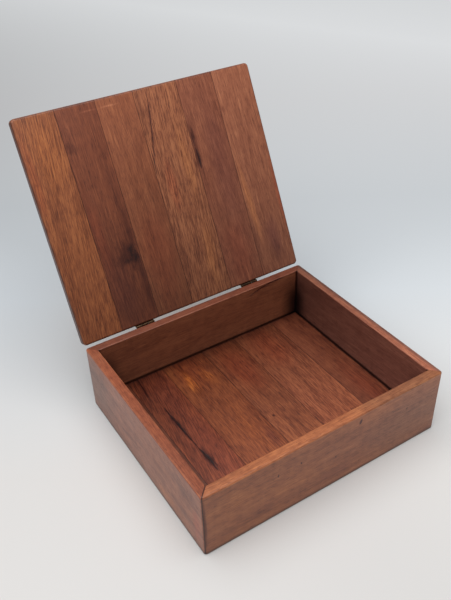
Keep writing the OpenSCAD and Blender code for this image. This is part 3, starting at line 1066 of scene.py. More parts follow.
@dataclass(frozen=True)
class WoodDress:
    """Makes the material of one board.

    Args:
        finish: The board's look.
        place: Where the board lies, with its grain's direction.
        half: Half the board's length, width and thickness.
        joint: How it meets its neighbours.
        panel: Where the panel it belongs to lies, for the wear along the panel's edges.
        panel_half: Half the panel's sizes.
        rim_gain: Multiplies the colour of a wall's sanded top, or None.
        rim_outer: Multiplies the outer part of that top, which hands have greyed, or None.
        inside: Multiplies the colour of a wall's inner face, or None.
        wear: Multiplies the colour along the panel's edges.
        wear_reach: How far the wear goes from an edge.
        dust_from: How far below the face the dust of an open gap starts, or None.
        floor_line: How high above a wall's foot the dust along the floor ends.
        seam_ends: How strong a mitre's line is at the start and at the end of the grain.
    """

    finish: WoodFinish
    place: Place
    half: Vector
    joint: Joint
    panel: Place
    panel_half: Vector
    rim_gain: Colour | None = None
    rim_outer: Colour | None = None
    inside: Colour | None = None
    wear: Colour = WHITE
    wear_reach: float = 2.2 * MM
    dust_from: float | None = None
    floor_line: float = 0.0
    seam_ends: tuple[float, float] = (1.0, 1.0)

    PLAIN_VALUES: ClassVar[tuple[str, ...]] = ("pith_tilt", "rings", "streaks", "pores", "shimmer", "seed")
    LENGTHS: ClassVar[tuple[str, ...]] = ("wave", "wave_length", "pith_across", "pith_depth", "ring_width")
    CRACK_LENGTHS: ClassVar[tuple[str, ...]] = (
        "start", "end", "across", "drift", "bow", "width", "ragged",
    )
    DUST_DEPTH: ClassVar[float] = 1.6 * MM
    FOOT_START: ClassVar[float] = 8.0 * MM
    FOOT_FULL: ClassVar[float] = 1.0 * MM
    FOOT_TINT: ClassVar[Colour] = (0.34, 0.3, 0.3)
    CORNER_REACH: ClassVar[float] = 30.0 * MM
    CORNER_TINT: ClassVar[Colour] = (0.1, 0.07, 0.09)
    CORNER_NEAR: ClassVar[float] = 3.0 * MM
    CORNER_HIGH: ClassVar[float] = 0.98
    CORNER_LOW: ClassVar[float] = 0.5
    INSIDE_SEAM: ClassVar[float] = 2.2
    INSIDE_DEPTH: ClassVar[float] = 1.5 * MM
    SEAM_WIDTHS: ClassVar[dict[Joint, float]] = {Joint.GLUED: 0.6 * MM, Joint.MITRED: 1.4 * MM}
    SEAM_TINTS: ClassVar[dict[Joint, Colour]] = {
        Joint.GLUED: (0.4, 0.32, 0.32), Joint.MITRED: (0.26, 0.2, 0.2),
    }
    OUTER_START: ClassVar[float] = 6.5 * MM
    OUTER_FULL: ClassVar[float] = 3.5 * MM
    RIM_LEAN: ClassVar[float] = 1.3 * MM
    RIM_START: ClassVar[float] = 2.2 * MM
    RIM_FULL: ClassVar[float] = 0.9 * MM
    GLOSS_SWING: ClassVar[float] = 0.14
    CLOUD_SWING: ClassVar[float] = 0.1
    SCRATCH_ROUGH: ClassVar[float] = 0.08
    CRACK_HEIGHT: ClassVar[float] = 0.35
    SCRATCH_HEIGHT: ClassVar[float] = 0.012
    BUMP_STRENGTH: ClassVar[float] = 0.8
    IOR: ClassVar[float] = 1.5

    @staticmethod
    def sizes(source: WoodFinish | Check, names: Iterable[str], unit: float) -> dict[str, float]:
        """Values for a group's inputs from the fields of a finish or a crack."""
        return {name.replace("_", " ").title(): getattr(source, name) * unit for name in names}

    @staticmethod
    def local(coat: Coat, place: Place) -> Wire:
        """The surface point in a place's own directions: along, across and out of its face.

        Args:
            coat: The material.
            place: The board or panel.

        Returns:
            The vector, from the place's centre.
        """
        turn = place.matrix().to_euler("XYZ")
        inputs = {"Vector": coat.where, "Location": place.centre, "Rotation": turn}
        return coat.graph.out("ShaderNodeMapping", inputs, vector_type="TEXTURE")

    def bare(self, graph: Graph, here: Wire) -> Wires:
        """Place the bare wood.

        Args:
            graph: The material's tree.
            here: The board's coordinates.

        Returns:
            The outputs of the wood's group.
        """
        look = self.finish
        return SolidWood.place(graph, {
            "Vector": here, "Deep": look.shade(look.deep), "Body": look.shade(WHITE),
            "Bright": look.shade(look.bright), "Slant": math.tan(math.radians(look.slant)),
            **self.sizes(look, self.LENGTHS, MM), **self.sizes(look, self.PLAIN_VALUES, 1.0),
        })

    def marked(self, graph: Graph, here: Wire, colour: Wire, height: Wire) -> tuple[Wire, Wire]:
        """Add the board's patches and cracks.

        Args:
            graph: The material's tree.
            here: The board's coordinates.
            colour: The wood's colour.
            height: The height of its surface.

        Returns:
            The new colour and the new height.
        """
        look = self.finish
        for number, patch in enumerate(look.patches):
            mask = Blot.place(graph, {
                "Vector": here, "Centre": (patch.along * MM, patch.across * MM, patch.out * MM),
                "Size": (patch.length * MM, patch.width * MM, patch.depth * MM),
                "Turn": math.radians(patch.turn), "Softness": patch.softness, "Ragged": patch.ragged,
                "Seed": look.seed + number,
            })["Mask"]
            colour = colour.tint(mask * patch.strength, patch.mark.value)
        for number, check in enumerate(look.checks):
            sizes = self.sizes(check, self.CRACK_LENGTHS, MM)
            crack = Crack.place(graph, {"Vector": here, "Seed": look.seed + number, **sizes})
            colour = colour.tint(crack["Stain"] * (check.strength * HALF), Mark.SMUDGE.value)
            dark = crack["Mask"] * check.strength
            colour = colour.tint(dark, CRACK_TINT)
            height = height - dark * self.CRACK_HEIGHT
        return colour, height

    def distance(self, x: Wire, y: Wire, z: Wire) -> Wire:
        """The distance to the nearest glued joint, from the board's coordinates."""
        if self.joint is Joint.GLUED:
            return self.half.y - abs(y)
        return self.half.x - (self.half.z - z) - abs(x)

    def inner_face(self, colour: Wire, up: Wire, near: Wire, hidden: Wire) -> Wire:
        """Tone a wall's inner face, its corners, the line along the floor, and its foot.

        Args:
            colour: The wood's colour so far.
            up: The height above the wall's foot.
            near: The distance to the nearest mitre.
            hidden: A mask of the inner face.

        Returns:
            The new colour.
        """
        colour = colour.tint(hidden, self.inside)
        tall = 2 * self.half.y
        corner = near.ramp(self.CORNER_REACH, self.CORNER_NEAR)
        corner = corner * up.ramp(tall * self.CORNER_HIGH, tall * self.CORNER_LOW) * hidden
        colour = colour.tint(corner, self.CORNER_TINT)
        low = up.ramp(self.floor_line, self.floor_line - self.DUST_DEPTH)
        colour = colour.tint(low * hidden, DUST_TINT)
        return colour.tint(up.ramp(self.FOOT_START, self.FOOT_FULL), self.FOOT_TINT)

    def rim(self, colour: Wire, below: Wire, depth: Wire) -> Wire:
        """Tone a wall's sanded top.

        Args:
            colour: The wood's colour so far.
            below: The distance below the wall's top.
            depth: The distance behind its outer face.

        Returns:
            The new colour.
        """
        lean = depth.line(0.0, self.OUTER_START, self.RIM_LEAN, 0.0)
        sanded = (below - lean).ramp(self.RIM_START, self.RIM_FULL)
        colour = colour.tint(sanded, self.rim_gain)
        if self.rim_outer is None:
            return colour
        return colour.tint(depth.ramp(self.OUTER_START, self.OUTER_FULL) * sanded, self.rim_outer)

    def joined(self, graph: Graph, here: Wire, colour: Wire, hidden: Wire) -> Wire:
        """Draw the lines of the board's joints.

        Args:
            graph: The material's tree.
            here: The board's coordinates.
            colour: The wood's colour so far.
            hidden: A mask of a wall's inner face.

        Returns:
            The new colour.
        """
        x, y, z = here.parts()
        width = self.SEAM_WIDTHS[self.joint]
        mitred = self.joint is Joint.MITRED
        if mitred:
            width = hidden.line(0.0, 1.0, width, width * self.INSIDE_SEAM)
        seam = Seam.place(graph, {
            "Vector": here, "Distance": self.distance(x, y, z), "Width": width, "Seed": self.finish.seed,
        })["Mask"]
        if mitred:
            outside = x.line(-self.half.x, self.half.x, *self.seam_ends)
            seam = seam * graph.math("MAXIMUM", outside, hidden)
        return colour.tint(seam, self.SEAM_TINTS[self.joint])

    def material(self, name: str) -> bpy.types.Material:
        """Make the material.

        Args:
            name: The material's name.

        Returns:
            The new material.
        """
        coat = Coat(name)
        graph, look, half = coat.graph, self.finish, self.half
        here = self.local(coat, self.place)
        wood = self.bare(graph, here)
        colour, height = self.marked(graph, here, wood["Color"], wood["Height"])

        x, y, z = here.parts()
        along = x.line(-half.x, half.x, *look.fade)
        colour = colour * graph.join(along, along, along)
        hidden = (z + half.z).ramp(self.INSIDE_DEPTH, 0.0)
        if self.inside is not None:
            colour = self.inner_face(colour, y + half.y, self.distance(x, y, z), hidden)
        if self.dust_from is not None:
            dusty = (half.z - z).ramp(self.dust_from, self.dust_from + self.DUST_DEPTH)
            colour = colour.tint(dusty, DUST_TINT)
        if self.rim_gain is not None:
            colour = self.rim(colour, half.y - y, half.z - z)
        worn = EdgeWear.place(graph, {
            "Vector": self.local(coat, self.panel), "Half Size": self.panel_half,
            "Reach": self.wear_reach, "Seed": look.seed,
        })["Mask"]
        colour = self.joined(graph, here, colour.tint(worn, self.wear), hidden)

        marks = Handling.place(graph, {"Vector": here, "Seed": look.seed})
        rough = look.roughness + wood["Gloss"].swing(self.GLOSS_SWING)
        rough = rough + marks["Cloud"].swing(self.CLOUD_SWING) + marks["Scratch"] * self.SCRATCH_ROUGH
        height = height - marks["Scratch"] * self.SCRATCH_HEIGHT
        return coat.close({
            "Base Color": colour, "Roughness": rough, "IOR": self.IOR,
            "Normal": coat.bump(height, self.BUMP_STRENGTH),
        })


class BrassDress:
    """Makes the hinges' brass."""

    CLOUD_CELLS: ClassVar[float] = 260.0
    CLOUD_DETAIL: ClassVar[float] = 4.0
    CLOUD_ROUGH: ClassVar[float] = 0.6
    CLOUD_SHARE: ClassVar[float] = 0.7
    SPECK_CELLS: ClassVar[float] = 1400.0
    SPECK_SHARE: ClassVar[float] = 0.3
    SCRATCH_CELLS: ClassVar[Vector] = Vector((300.0, 5200.0, 5200.0))
    TARNISH_LOW: ClassVar[float] = 0.38
    TARNISH_HIGH: ClassVar[float] = 0.68
    ROUGH_SWING: ClassVar[float] = 0.3

    @classmethod
    def material(cls, name: str, finish: BrassFinish) -> bpy.types.Material:
        """Make the material.

        Args:
            name: The material's name.
            finish: The brass's look.

        Returns:
            The new material.
        """
        coat = Coat(name)
        graph, where = coat.graph, coat.where
        clouds = graph.noise(where * cls.CLOUD_CELLS, cls.CLOUD_DETAIL, cls.CLOUD_ROUGH)
        specks = graph.noise(where * cls.SPECK_CELLS)
        lines = graph.noise(where * cls.SCRATCH_CELLS, PLAIN)
        dull = (clouds * cls.CLOUD_SHARE + specks * cls.SPECK_SHARE).ramp(cls.TARNISH_LOW, cls.TARNISH_HIGH)
        height = lines.swing(finish.scratch_height) + specks.swing(finish.scratch_height)
        return coat.close({
            "Base Color": graph.mix(dull, (*finish.metal, 1.0), (*finish.tarnish, 1.0)),
            "Roughness": finish.roughness + dull * cls.ROUGH_SWING,
            "Metallic": 1.0, "Normal": coat.bump(height),
        })


def linked(name: str, data: bpy.types.ID) -> bpy.types.Object:
    """Make an object in the scene.

    Args:
        name: The object's name.
        data: Its mesh, lamp or camera.

    Returns:
        The new object.
    """
    obj = bpy.data.objects.new(name, data)
    bpy.context.scene.collection.objects.link(obj)
    return obj


class Shape:
    """Mesh work that all the pieces share."""

    SHARP_ANGLE: ClassVar[float] = math.radians(32)
    MERGE: ClassVar[float] = 1e-6
    DRILL_SIDES: ClassVar[int] = 24

    @staticmethod
    def direction(start: Point2, end: Point2) -> Point2:
        """The direction from one point to another, of length 1."""
        size = math.hypot(end[0] - start[0], end[1] - start[1])
        return ((end[0] - start[0]) / size, (end[1] - start[1]) / size)

    @staticmethod
    def outline(corners: Sequence[tuple[Point2, float]], steps: int, support: float) -> list[Point2]:
        """A closed outline with rounded corners and a point just beside each arc.

        Args:
            corners: The square corners in order, each with its radius, 0 for a sharp one.
            steps: How many straight pieces each arc has.
            support: The distance of the extra points from the arcs.

        Returns:
            The outline's points.
        """
        points: list[Point2] = []
        for index, (corner, radius) in enumerate(corners):
            before = Shape.direction(corners[index - 1][0], corner)
            after = Shape.direction(corner, corners[(index + 1) % len(corners)][0])
            if radius <= 0:
                points.append(corner)
                continue
            lead = radius + support
            centre = [c - b * radius + a * radius for c, b, a in zip(corner, before, after)]
            points.append(tuple(c - b * lead for c, b in zip(corner, before)))
            for step in range(steps + 1):
                angle = SQUARE * step / steps
                points.append(tuple(
                    c + radius * (b * math.sin(angle) - a * math.cos(angle))
                    for c, b, a in zip(centre, before, after)
                ))
            points.append(tuple(c + a * lead for c, a in zip(corner, after)))
        return points

    @staticmethod
    def inset(points: Sequence[Point2], by: float) -> list[Point2]:
        """Move a closed outline inwards. Its points run clockwise.

        Args:
            points: The outline.
            by: How far it moves.

        Returns:
            The moved outline, with as many points.
        """
        moved = []
        for index, point in enumerate(points):
            first = Shape.direction(points[index - 1], point)
            second = Shape.direction(point, points[(index + 1) % len(points)])
            normal = (first[1] + second[1], -first[0] - second[0])
            scale = by / (1 + first[0] * second[0] + first[1] * second[1])
            moved.append((point[0] + normal[0] * scale, point[1] + normal[1] * scale))
        return moved

    @staticmethod
    def skin(shell: bmesh.types.BMesh, rows: Rows, closed: bool) -> None:
        """Lay quads between rows of points.

        Args:
            shell: The bmesh.
            rows: The rows in order, each with as many points.
            closed: Whether each row is a loop.
        """
        for low, high in zip(rows, rows[1:]):
            for index in range(0 if closed else 1, len(low)):
                a, b, c, d = low[index - 1], low[index], high[index], high[index - 1]
                shell.faces.new((a, b, c, d) if closed else (a, d, c, b))

    @staticmethod
    def sweep(loops: Sequence[Sequence[Vector]]) -> bpy.types.Mesh:
        """A closed shell through loops of as many points each, capped at both ends.

        Args:
            loops: The loops in order.

        Returns:
            The new mesh, with its faces outwards.
        """
        shell = bmesh.new()
        rows = [[shell.verts.new(point) for point in loop] for loop in loops]
        Shape.skin(shell, rows, closed=True)
        shell.faces.new(rows[0])
        shell.faces.new(rows[-1])
        return Shape.finish(shell)

    @staticmethod
    def clean(shell: bmesh.types.BMesh) -> None:
        """Merge a shell's doubles and turn its faces outwards."""
        bmesh.ops.remove_doubles(shell, verts=shell.verts, dist=Shape.MERGE)
        bmesh.ops.dissolve_degenerate(shell, edges=shell.edges, dist=Shape.MERGE)
        bmesh.ops.recalc_face_normals(shell, faces=shell.faces)

    @staticmethod
    def store(shell: bmesh.types.BMesh, mesh: bpy.types.Mesh) -> bpy.types.Mesh:
        """Write a shell into a mesh, and free the shell."""
        shell.to_mesh(mesh)
        shell.free()
        return mesh

    @staticmethod
    def finish(shell: bmesh.types.BMesh) -> bpy.types.Mesh:
        """A shell's mesh: cleaned, with its faces outwards, shaded smoothly. The shell is freed."""
        Shape.clean(shell)
        return Shape.smooth(Shape.store(shell, bpy.data.meshes.new("shape")))

    @staticmethod
    def smooth(mesh: bpy.types.Mesh) -> bpy.types.Mesh:
        """Shade a mesh smoothly, with hard edges kept.

        Args:
            mesh: The mesh.

        Returns:
            The same mesh.
        """
        mesh.shade_smooth()
        mesh.set_sharp_from_angle(angle=Shape.SHARP_ANGLE)
        return mesh

    @staticmethod
    def piece(
        name: str, mesh: bpy.types.Mesh, material: bpy.types.Material, body: Body, node: str
    ) -> None:
        """Make a finished piece that stands for a node of the frame.

        Args:
            name: The piece's name.
            mesh: Its mesh, in place.
            material: Its only material.
            body: The body it rides on.
            node: The node it stands for, whose slot it takes as well.
        """
        mesh.name = name
        mesh.materials.clear()
        mesh.materials.append(material)
        obj = linked(name, mesh)
        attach(obj, body.value)
        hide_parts(node)
        LOG.info("%s: %d faces, rides on %s", name, len(mesh.polygons), body.value)

    @staticmethod
    def baked(helper: bpy.types.Object) -> bpy.types.Mesh:
        """Apply a helper's modifiers and remove the helper.

        Args:
            helper: The object.

        Returns:
            A new plain mesh.
        """
        graph = bpy.context.evaluated_depsgraph_get()
        mesh = bpy.data.meshes.new_from_object(helper.evaluated_get(graph))
        bpy.data.objects.remove(helper)
        return mesh

    @staticmethod
    def drilled(mesh: bpy.types.Mesh, holes: Sequence[Matrix], sizes: HingeSizes) -> bpy.types.Mesh:
        """Drill a mesh for screws.

        Args:
            mesh: The mesh.
            holes: For each hole the matrix of its mouth, drilled along its own Z.
            sizes: The hinge's sizes.

        Returns:
            The drilled mesh.
        """
        radius = sizes.screw_shank / 2 + sizes.clearance
        depth = sizes.screw_length - sizes.leaf + sizes.clearance
        cutter = bmesh.new()
        for place in holes:
            bmesh.ops.create_cone(
                cutter, cap_ends=True, segments=Shape.DRILL_SIDES, radius1=radius, radius2=radius,
                depth=depth + radius, matrix=place @ Matrix.Translation((0, 0, (depth - radius) / 2)),
            )
        drill = linked("drill", Shape.store(cutter, bpy.data.meshes.new("drill")))
        helper = linked("helper", mesh)
        cut = helper.modifiers.new("cut", "BOOLEAN")
        cut.operation = "DIFFERENCE"
        cut.solver = "EXACT"
        cut.object = drill
        result = Shape.baked(helper)
        bpy.data.objects.remove(drill)
        return Shape.smooth(result)


@dataclass(frozen=True)
class HingeSizes:
    """Sizes of a hinge and its screws, as in the construction."""

    length: float = 25.4 * MM
    leaf: float = 0.8 * MM
    pin: float = 1.2 * MM
    head: float = 1.8 * MM
    head_depth: float = 0.4 * MM
    screw_spacing: float = 16 * MM
    screw_reach: float = 5.6 * MM
    screw_head: float = 3.4 * MM
    screw_shank: float = 1.9 * MM
    screw_length: float = 9.5 * MM
    screw_point: float = 2 * MM
    screw_count: int = 2
    slot_width: float = 0.5 * MM
    slot_depth: float = 0.4 * MM
    clearance: float = 0.05 * MM
    leaf_ease: float = 0.1 * MM


@dataclass(frozen=True)
class BoxPlan:
    """The box's main sizes and its hinge line, read from the frame."""

    low: Vector
    high: Vector
    wall: float
    pin: Vector
    open_angle: float
    hinge_offset: float
    sizes: HingeSizes = field(default_factory=HingeSizes)

    @classmethod
    def read(cls) -> BoxPlan:
        """Read the sizes from the frame.

        Returns:
            The plan.
        """
        front_low, front_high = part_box("front_wall")
        joint = frame["joints"][0]
        leaf_low, leaf_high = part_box("right_hinge_box_leaf")
        return cls(
            low=Vector((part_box("left_wall")[0].x, front_low.y, front_low.z)),
            high=Vector((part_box("right_wall")[1].x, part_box("back_wall")[1].y, front_high.z)),
            wall=front_high.y - front_low.y,
            pin=Vector(joint["pos_m"]),
            open_angle=math.radians(joint["range_deg"][1]),
            hinge_offset=(leaf_low.x + leaf_high.x) / 2,
        )

    @property
    def centre(self) -> Vector:
        """The middle of the four walls."""
        return (self.low + self.high) / 2

    @property
    def size(self) -> Vector:
        """Width, depth and height of the four walls."""
        return self.high - self.low

    def opening(self) -> Matrix:
        """The move from the closed lid's place to its open place."""
        turn = Matrix.Rotation(-self.open_angle, 4, "X")
        return Matrix.Translation(self.pin) @ turn @ Matrix.Translation(-self.pin)

    def screw_places(self, side: Side, body: Body) -> list[Matrix]:
        """Where the two screws of a leaf enter the wood.

        Args:
            side: Which hinge.
            body: The body whose leaf it is.

        Returns:
            One matrix for each screw, at the wood's face, with Z into the wood.
        """
        sizes = self.sizes
        up = sizes.screw_reach if body is Body.LID else -sizes.screw_reach
        move = self.opening() if body is Body.LID else Matrix.Identity(4)
        places = []
        for end in (-HALF, HALF):
            x = side.value * self.hinge_offset + end * sizes.screw_spacing
            spot = Vector((x, self.high.y, self.pin.z + up))
            places.append(move @ Matrix.Translation(spot) @ Matrix.Rotation(SQUARE, 4, "X"))
        return places


@dataclass
class Walls:
    """The four mitred walls.

    Args:
        plan: The box's main sizes.
        edge: Radius of the outer edges along the top and the bottom.
        corner: Radius of the upright corners.
        rim: Radius of the inner edges.
        groove: Bottom, top and depth of the floor's groove.
        seam: Easing of the mitres, which shows as a fine line.
        arc_steps: Straight pieces in each edge's arc.
        corner_steps: Straight pieces in half an upright corner.
        support: Distance of the extra lines beside the arcs.
        stations: Pieces of half a wall's length.
    """

    plan: BoxPlan
    edge: float = 2 * MM
    corner: float = 3.4 * MM
    rim: float = 0.9 * MM
    groove: tuple[float, float, float] = (9 * MM, 15.2 * MM, 5 * MM)
    seam: float = 0.16 * MM
    arc_steps: int = 7
    corner_steps: int = 6
    support: float = 0.35 * MM
    stations: int = 17

    WEAR_REACH: ClassVar[float] = 1.6 * MM
    FLOOR_LINE: ClassVar[float] = 23.6 * MM
    TONES: ClassVar[dict[WallName, dict[str, tuple[float, ...]]]] = {
        WallName.FRONT: {
            "wear": (1.0, 0.98, 0.92), "seam_ends": (1.0, 0.2), "inside": (0.7, 0.62, 0.6),
            "rim_gain": (1.42, 1.46, 1.42),
        },
        WallName.BACK: {
            "wear": (1.5, 1.85, 1.95), "seam_ends": (0.3, 0.15), "inside": (0.95, 0.9, 0.9),
            "rim_gain": (0.87, 0.74, 0.8),
        },
        WallName.LEFT: {
            "wear": (1.45, 1.85, 2.0), "seam_ends": (0.15, 1.0), "inside": (0.7, 0.6, 0.55),
            "rim_gain": (0.96, 0.71, 0.55),
        },
        WallName.RIGHT: {
            "wear": (1.15, 1.3, 1.3), "seam_ends": (0.2, 0.3), "inside": (0.65, 0.56, 0.6),
            "rim_gain": (1.42, 1.16, 1.0), "rim_outer": (0.6, 0.7, 0.85),
        },
    }

    def profile(self) -> list[Point2]:
        """The wall's section: depth from the outer face, and height, clockwise.

        Returns:
            The section's points.
        """
        thick, high = self.plan.wall, self.plan.size.z
        low_groove, high_groove, deep = self.groove
        corners = [
            ((0.0, 0.0), self.edge), ((0.0, high), self.edge), ((thick, high), self.rim),
            ((thick, high_groove), 0.0), ((thick - deep, high_groove), 0.0),
            ((thick - deep, low_groove), 0.0), ((thick, low_groove), 0.0), ((thick, 0.0), self.rim),
        ]
        return Shape.outline(corners, self.arc_steps, self.support)

    def loop(
        self, points: Sequence[Point2], half: float, run: float, turn: float, sign: int
    ) -> list[Vector]:
        """One loop of a wall: depth and height turned into length, depth and height.

        Args:
            points: The section's points.
            half: Half the wall's outer length.
            run: Share of the straight part, from 0 in the middle to 1 at the corner's start.
            turn: Share of the corner, from 0 at its start to 1 on the mitre.
            sign: -1 or 1, for the end.

        Returns:
            The loop's points as (along, depth, height).
        """
        radius = self.corner
        loop = []
        for depth, height in points:
            along = (half - depth - radius) * run + radius * turn
            inward = depth
            if depth < radius:
                angle = MITRE * turn
                reach = radius - depth
                along = (half - radius) * run + reach * math.sin(angle)
                inward = radius - reach * math.cos(angle)
            loop.append(Vector((sign * along, inward, height)))
        return loop

    def mesh(self, half: float) -> bpy.types.Mesh:
        """A wall along X with its outer face at Y = 0 and its inner face at +Y.

        Args:
            half: Half its outer length.

        Returns:
            The mesh.
        """
        full = self.profile()
        eased = Shape.inset(full, self.seam)
        last = 1 - self.seam / self.corner
        side = [(full, index / self.stations, 0.0) for index in range(1, self.stations)]
        side += [(full, 1.0, step / self.corner_steps) for step in range(self.corner_steps)]
        side += [(full, 1.0, last), (eased, 1.0, 1.0)]
        loops = [self.loop(points, half, run, turn, -1) for points, run, turn in reversed(side)]
        loops.append(self.loop(full, half, 0.0, 0.0, 1))
        loops += [self.loop(points, half, run, turn, 1) for points, run, turn in side]
        return Shape.sweep(loops)

    def build(self) -> None:
        """Build and dress the four walls."""
        plan, size = self.plan, self.plan.size
        up = Vector((0, 0, 1))
        for name in WallName:
            out = Vector(name.value)
            along = up.cross(out)
            half = abs(along.dot(size)) / 2
            face = plan.centre + out * (abs(out.dot(size)) / 2)
            base = Vector((face.x, face.y, plan.low.z))
            mesh = self.mesh(half)
            mesh.transform(Matrix.Translation(base) @ Matrix((along, -out, up)).transposed().to_4x4())
            if name is WallName.BACK:
                holes = [place for side in Side for place in plan.screw_places(side, Body.BOX)]
                mesh = Shape.drilled(mesh, holes, plan.sizes)
            place = Place(face - out * plan.wall / 2, along, up)
            halves = Vector((half, size.z / 2, plan.wall / 2))
            dress = WoodDress(
                WALL_WOODS[name], place, halves, Joint.MITRED, place, halves, wear_reach=self.WEAR_REACH,
                floor_line=self.FLOOR_LINE, **self.TONES[name],
            )
            node = f"{name.name.lower()}_wall"
            Shape.piece(f"{node}_solid", mesh, dress.material(f"{node}_wood"), Body.BOX, node)


class Border(Enum):
    """The two kinds of long side that a floor board has."""

    TONGUE = "tongue in a wall's groove"
    GLUE = "glued to the next board"


@dataclass
class Floor:
    """The floor panel: six boards with a tongue around the whole.

    Args:
        plan: The box's main sizes.
        top: Height of the floor's top face.
        bottom: Height of its underside.
        tongue_top: Height of the tongue's top face.
        gap: Open gap between the floor's field and the walls.
        ease: Radius along the field's edges.
        seam: Easing of the glued joints.
        ease_steps: Straight pieces in the arc along the field's edges.
        count: How many boards there are.
    """

    plan: BoxPlan
    top: float = 21 * MM
    bottom: float = 9 * MM
    tongue_top: float = 15 * MM
    gap: float = 1.5 * MM
    ease: float = 0.6 * MM
    seam: float = 0.14 * MM
    ease_steps: int = 4
    count: int = 6

    WEAR: ClassVar[Colour] = (0.16, 0.12, 0.12)
    WEAR_REACH: ClassVar[float] = 2.8 * MM

    def border(self, edge: float, sign: int, kind: Border, field_edge: float) -> list[Point2]:
        """The lines of the top sheet next to one side, from the outside inwards.

        Args:
            edge: The side's outermost coordinate.
            sign: 1 where the board lies above the edge, -1 where it lies below it.
            kind: What the side is.
            field_edge: Where the thick field starts, for a tongue.

        Returns:
            Pairs of coordinate and height.
        """
        if kind is Border.GLUE:
            return [(edge, self.bottom), (edge, self.top - self.seam), (edge + sign * self.seam, self.top)]
        lines = [(edge, self.bottom), (edge, self.tongue_top), (field_edge, self.tongue_top)]
        for step in range(self.ease_steps + 1):
            angle = SQUARE * step / self.ease_steps
            inward = self.ease * (1 - math.cos(angle))
            lines.append((field_edge + sign * inward, self.top - self.ease * (1 - math.sin(angle))))
        return lines

    def mesh(self, low: Vector, high: Vector, left: Border, right: Border) -> bpy.types.Mesh:
        """The mesh of one board.

        Args:
            low: Its lowest corner.
            high: Its highest corner.
            left: What its left side is.
            right: What its right side is.

        Returns:
            The mesh.
        """
        inner_low = self.plan.low + Vector((1, 1, 0)) * (self.plan.wall + self.gap)
        inner_high = self.plan.high - Vector((1, 1, 0)) * (self.plan.wall + self.gap)
        across = self.border(low.x, 1, left, inner_low.x)
        across += reversed(self.border(high.x, -1, right, inner_high.x))
        depth = self.border(low.y, 1, Border.TONGUE, inner_low.y)
        depth += reversed(self.border(high.y, -1, Border.TONGUE, inner_high.y))
        shell = bmesh.new()
        rows = [[shell.verts.new((x, y, min(zx, zy))) for y, zy in depth] for x, zx in across]
        Shape.skin(shell, rows, closed=False)
        bmesh.ops.remove_doubles(shell, verts=shell.verts, dist=Shape.MERGE)
        bmesh.ops.dissolve_degenerate(shell, edges=shell.edges, dist=Shape.MERGE)
        bmesh.ops.edgeloop_fill(shell, edges=[edge for edge in shell.edges if edge.is_boundary])
        return Shape.finish(shell)

    def build(self) -> None:
        """Build and dress the six boards."""
        nodes = [f"floor_board_{number}" for number in range(1, self.count + 1)]
        panel_low, panel_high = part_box(nodes[0])[0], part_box(nodes[-1])[1]
        forward, right = Vector((0, -1, 0)), Vector((1, 0, 0))
        panel = Place((panel_low + panel_high) / 2, forward, right)
        hidden = 2 * (self.plan.wall + self.gap)
        size = self.plan.size - Vector((hidden, hidden, 0))
        panel_half = Vector((size.y, size.x, (panel_high - panel_low).z)) / 2
        for index, node in enumerate(nodes):
            low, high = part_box(node)
            left = Border.TONGUE if index == 0 else Border.GLUE
            right_side = Border.TONGUE if node == nodes[-1] else Border.GLUE
            board = high - low
            dress = WoodDress(
                FLOOR_WOODS[index], Place((low + high) / 2, forward, right),
                Vector((board.y, board.x, board.z)) / 2, Joint.GLUED, panel, panel_half,
                wear=self.WEAR, wear_reach=self.WEAR_REACH, dust_from=self.ease,
            )
            mesh = self.mesh(low, high, left, right_side)
            Shape.piece(f"{node}_solid", mesh, dress.material(f"{node}_wood"), Body.BOX, node)


